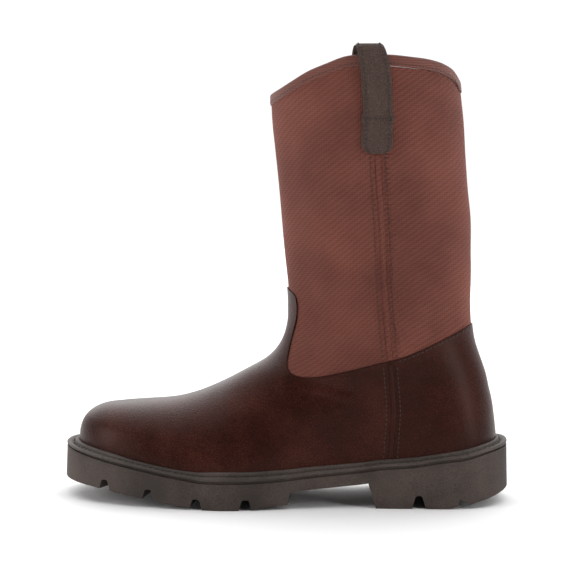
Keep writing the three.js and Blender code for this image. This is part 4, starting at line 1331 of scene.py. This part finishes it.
def make_outsole():
    inset, end_inset = SIDE_LEAN + GROOVE_DEPTH, END_LEAN + GROOVE_DEPTH
    soft, low = 0.25 * EDGE_ROUND, 0.3 * EDGE_ROUND

    def shoulder(x):
        return sole_top(x) - groove_height(x)

    made = stack("lugged_outsole", [
        sole_loop(EDGE_ROUND, EDGE_ROUND, underside),
        sole_loop(soft, soft, lambda x: underside(x) + low),
        sole_loop(0, 0, lambda x: underside(x) + EDGE_ROUND),
        sole_loop(SIDE_LEAN, END_LEAN, lambda x: shoulder(x) - EDGE_ROUND),
        sole_loop(SIDE_LEAN + soft, END_LEAN + soft, lambda x: shoulder(x) - low),
        sole_loop(SIDE_LEAN + EDGE_ROUND, END_LEAN + EDGE_ROUND, shoulder),
        sole_loop(inset, end_inset, shoulder),
        sole_loop(inset, end_inset, sole_top),
    ])
    x = sole_place(np.linspace(ARCH["rise"], ARCH["breast_top"], 40))
    arch = [(sole_place(ARCH["front"]), -LUG_DEPTH), *zip(x, sole_top(x) - ARCH_EDGE),
            (sole_place(ARCH["breast_foot"]), -LUG_DEPTH)]
    t = np.linspace(0, 1.1, 30)
    start = SOLE_LENGTH / 2 - HEEL_BEVEL_LENGTH
    bevel = [*zip(start + t * HEEL_BEVEL_LENGTH, HEEL_BEVEL_RISE * t * t),
             (start + t[-1] * HEEL_BEVEL_LENGTH, -LUG_DEPTH), (start, -LUG_DEPTH)]
    x = sole_place(np.linspace(CHANNEL_START, ARCH["front"], 40))
    channel = [(x[0], -LUG_DEPTH), *zip(x, underside(x) + CHANNEL_DEPTH), (x[-1], -LUG_DEPTH)]
    cutters = [bar(arch), bar(bevel)]
    cutters += [notch(sole_place(row["at"]), NOTCH_MOUTH, NOTCH_ROOT, LUG_DEPTH, row["swing"])
                for row in NOTCHES]
    cutters += [notch(sole_place(HEEL_NOTCH), HEEL_NOTCH_MOUTH, HEEL_NOTCH_ROOT, HEEL_LUG_DEPTH, 0),
                wedge(sole_place(HEEL_WEDGE)), bar(channel, -CHANNEL_WIDTH / 2, CHANNEL_WIDTH / 2)]
    for cutter in cutters:
        cut(made, cutter, "DIFFERENCE")
    return finish(made, RUBBER, "outsole_rubber", "outsole")


def welt_loop(inward, up):
    """Line round the welt, inward and up as shares of its reach and height."""
    return sole_loop(mix(SIDE_LEAN, WELT_REACH, inward), mix(END_LEAN, WELT_END_REACH, inward),
                     lambda x: sole_top(x) + CLEARANCE + up * welt_rise(x))


def make_welt():
    rows = [*spline([(row["in"], row["up"]) for row in WELT[:-2]], 36),
            *((row["in"], row["up"]) for row in WELT[-2:])]
    loops = [welt_loop(inward, up) for inward, up in rows]
    faces = ring_faces(len(loops), 2 * STATIONS, closed=True)
    made = mesh_object("stitched_welt", np.vstack(loops), faces, 50)
    cut(made, filled("cutter", LEATHER_STEP + CLEARANCE, CLEARANCE), "DIFFERENCE", 50)
    return finish(made, WELTING, "welt", "welt")


FOOTBED_ROUND = 0.8


def make_insole():
    inside, inside_end = (reach * WELT[-1]["in"] + CLEARANCE for reach in (WELT_REACH, WELT_END_REACH))

    def layer(inset, up):
        return sole_loop(inside + inset, inside_end + inset, lambda x: sole_top(x) + CLEARANCE + up)

    made = stack("footbed", [layer(0, 0), layer(0, INSOLE_THICKNESS - FOOTBED_ROUND),
                             layer(FOOTBED_ROUND, INSOLE_THICKNESS)])
    cut(made, filled("cutter", LEATHER_STEP - UPPER_WALL - CLEARANCE, 2 * WELT_HEIGHT), "INTERSECT")
    return finish(made, LINING, "insole", "insole")


# Stitches by Geometry Nodes: one ellipsoid of thread at each pitch along a line of edges
def stitch_tree():
    tree = bpy.data.node_groups.new("stitch_row", "GeometryNodeTree")
    for name, kind in (("Geometry", "NodeSocketGeometry"), ("Pitch", "NodeSocketFloat"),
                       ("Stitch Length", "NodeSocketFloat"), ("Thread Radius", "NodeSocketFloat"),
                       ("Thread", "NodeSocketMaterial")):
        tree.interface.new_socket(name, in_out="INPUT", socket_type=kind)
    tree.interface.new_socket("Geometry", in_out="OUTPUT", socket_type="NodeSocketGeometry")
    given = node(tree, "NodeGroupInput").outputs
    line = node(tree, "GeometryNodeMeshToCurve", links={"Mesh": given["Geometry"]})
    places_along = node(tree, "GeometryNodeResampleCurve", links={"Curve": line,
                                                                  "Length": given["Pitch"]}, mode="LENGTH")
    ball = node(tree, "GeometryNodeMeshUVSphere", {"Segments": 8, "Rings": 6, "Radius": 1.0})
    half = node(tree, "ShaderNodeMath", {1: 0.5}, {0: given["Stitch Length"]}, operation="MULTIPLY")
    size = node(tree, "ShaderNodeCombineXYZ", links={0: half, 1: given["Thread Radius"],
                                                     2: given["Thread Radius"]})
    stitch = node(tree, "GeometryNodeTransform", links={"Geometry": ball, "Scale": size})
    ahead = node(tree, "GeometryNodeInputTangent")
    turn = node(tree, "FunctionNodeAlignRotationToVector", links={"Vector": ahead}, axis="X")
    row = node(tree, "GeometryNodeInstanceOnPoints", links={
        "Points": places_along, "Instance": stitch, "Rotation": turn})
    solid = node(tree, "GeometryNodeRealizeInstances", links={0: row})
    soft = node(tree, "GeometryNodeSetShadeSmooth", links={"Geometry": solid})
    dyed = node(tree, "GeometryNodeSetMaterial", links={"Geometry": soft,
                                                        "Material": given["Thread"]})
    node(tree, "NodeGroupOutput", links={0: dyed})
    return tree


STITCHES = stitch_tree()


def stitches(name, lines, material, pitch=3.1, length=2.3, radius=0.42):
    """Rows of thread along lines of points in millimetres, as one mesh."""
    mesh = bpy.data.meshes.new(name)
    points, edges = [], []
    for line in lines:
        first = len(points)
        points += ((np.asarray(line) + SHIFT) * MM).tolist()
        edges += [(first + i, first + i + 1) for i in range(len(line) - 1)]
    mesh.from_pydata(points, edges, [])
    made = added(name, mesh)
    modifier = made.modifiers.new("stitches", "NODES")
    modifier.node_group = STITCHES
    sizes = {"Pitch": pitch * MM, "Stitch Length": length * MM, "Thread Radius": radius * MM,
             "Thread": material}
    for item in STITCHES.interface.items_tree:
        if item.item_type == "SOCKET" and item.in_out == "INPUT" and item.name in sizes:
            modifier[item.identifier] = sizes[item.name]
    settle(made)
    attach(made, "root")
    return made


def on_surface(line, side, out):
    line = resampled(line, 1.0)
    return surface(line[:, 0], line[:, 1], side, out)


# Rows of stitches: millimetres beside the seam, shares of the strap's width, millimetres within
# an edge
FOOT_SEAM_ROWS = (-5.0, 4.4)
SHAFT_SEAM_ROWS = (-5.2, 5.0)
STRAP_ROWS = (-0.38, 0.38)
EDGE_ROW = 1.3
TAPE_ROW = 1.6
WELT_ROW = {"in": 0.51, "up": 0.4}
ON_TOP = 0.05
STRAP_OUTSIDE = slice(0, 88)  # points of the strap's line from its foot up over the loop


def make_stitches():
    on_leather = LEATHER_STEP + ON_TOP
    sides = tuple(SIDES.values())
    behind_seam = edge_line[(edge_line[:, 0] > seam_x(INSTEP_HEIGHT) + 6)
                            & (edge_line[:, 0] < back_x(edge_line[:, 1]) - 0.6)]
    rows = [on_surface(shifted(behind_seam, -EDGE_ROW), side, on_leather) for side in sides]
    stitches("edge_stitches", rows, DARK_THREAD)
    rows = [on_surface(seam_path(SEAM_FOOT + 1, SEAM_SPLIT - 5, aside), side, on_leather)
            for side in sides for aside in FOOT_SEAM_ROWS]
    stitches("foot_seam_stitches", rows, DARK_THREAD)
    rows = [on_surface(seam_path(SEAM_SPLIT + 4, SEAM_TOP + 2, aside), side, ON_TOP)
            for side in sides for aside in SHAFT_SEAM_ROWS]
    stitches("shaft_seam_stitches", rows, BROWN_THREAD)
    on_strap = STRAP_THICKNESS / 2 + 0.03
    low_end = strap_size[:, 1] > -9.0
    rows = [strap_surface(side, across, on_strap)[low_end][STRAP_OUTSIDE]
            for side in sides for across in STRAP_ROWS]
    stitches("strap_stitches", rows, DARK_THREAD, pitch=2.9, length=1.9, radius=0.55)
    at_ear = int(np.argmin(abs(strap_size[:, 1] - EAR_ROW)))
    rows = [[strap_surface(side, across, on_strap)[at_ear] for across in np.linspace(-0.4, 0.4, 12)]
            for side in sides]
    stitches("strap_cross_stitches", rows, DARK_THREAD, pitch=2.4, length=1.6, radius=0.7)
    x = np.linspace(COLLAR_FRONT + 1.5, COLLAR_BACK - 1.5, LINE_STEPS)
    tape = np.stack([x, collar_z(x) - BINDING_HEIGHT + TAPE_ROW], -1)
    rows = [on_surface(tape, side, BINDING_STEP + 0.02) for side in sides]
    stitches("tape_stitches", rows, BROWN_THREAD, pitch=2.6, length=1.7, radius=0.3)
    loop = welt_loop(WELT_ROW["in"], WELT_ROW["up"])
    rows = [np.vstack([loop, loop[:1]])]
    stitches("welt_stitches", rows, WELT_THREAD, pitch=4.6, length=3.5, radius=0.65)


# Camera at the photograph's angle to the boot, for a square picture
PHOTO_SIDE = 580
FOCAL_PIXELS = 1413.3
CAMERA_YAW = 4.27
CAMERA_PITCH = 3.868
CAMERA_AWAY = 1009.3
CAMERA_ASIDE = 4.3
CAMERA_HEIGHT = 215.8


def make_camera():
    data = bpy.data.cameras.new("camera")
    data.sensor_width = 36
    data.lens = FOCAL_PIXELS / PHOTO_SIDE * data.sensor_width
    data.clip_start = 0.01
    camera = added("camera", data)
    yaw = math.radians(CAMERA_YAW)
    camera.location = [v * MM for v in (
        CAMERA_ASIDE * math.cos(yaw) + CAMERA_AWAY * math.sin(yaw),
        CAMERA_ASIDE * math.sin(yaw) - CAMERA_AWAY * math.cos(yaw), CAMERA_HEIGHT)]
    camera.rotation_euler = (math.radians(90 - CAMERA_PITCH), 0, yaw)
    bpy.context.scene.camera = camera


def soft_light(name, place, size, power):
    data = bpy.data.lights.new(name, "AREA")
    data.shape = "RECTANGLE"
    data.size, data.size_y = size
    data.energy = power
    light = added(name, data)
    light.location = place
    light.rotation_euler = (Vector((0, 0, 0.13)) - Vector(place)).to_track_quat("-Z", "Y").to_euler()


FLOOR_HALF = 6.0


def make_studio():
    floor = bpy.data.meshes.new("studio_floor")
    corners = [(x * FLOOR_HALF, y * FLOOR_HALF, 0) for x, y in ((-1, -1), (1, -1), (1, 1), (-1, 1))]
    floor.from_pydata(corners, [], [(0, 1, 2, 3)])
    made = added("studio_floor", floor)
    paper = new_material("white_paper", Roughness=0.9, Base_Color=linear("#fafafa"))[0]
    floor.materials.append(paper)
    world = bpy.data.worlds.new("studio")
    world.use_nodes = True
    tree = world.node_tree
    way = node(tree, "ShaderNodeTexCoord").outputs["Generated"]
    parts = node(tree, "ShaderNodeSeparateXYZ", links={0: way})
    glow = node(tree, "ShaderNodeMapRange", {"From Min": -0.2, "From Max": 0.7,
                                             "To Min": 0.06, "To Max": 1.05},
                {"Value": parts.outputs["Y"]}, interpolation_type="SMOOTHSTEP")
    background = tree.nodes["Background"]
    background.inputs["Color"].default_value = linear("#ffffff")
    tree.links.new(glow.outputs[0], background.inputs["Strength"])
    bpy.context.scene.world = world
    soft_light("ceiling_light", (0.0, 1.6, 3.6), (9.0, 11.0), 460)
    soft_light("left_light", (-1.6, -0.7, 0.6), (0.5, 1.0), 12)
    soft_light("right_light", (1.5, -0.9, 0.6), (0.5, 1.2), 12)
    bpy.context.scene.view_settings.view_transform = "Standard"


make_camera()
make_studio()
make_upper()
make_shaft()
make_binding()
make_seams()
make_straps()
make_outsole()
make_welt()
make_insole()
make_stitches()
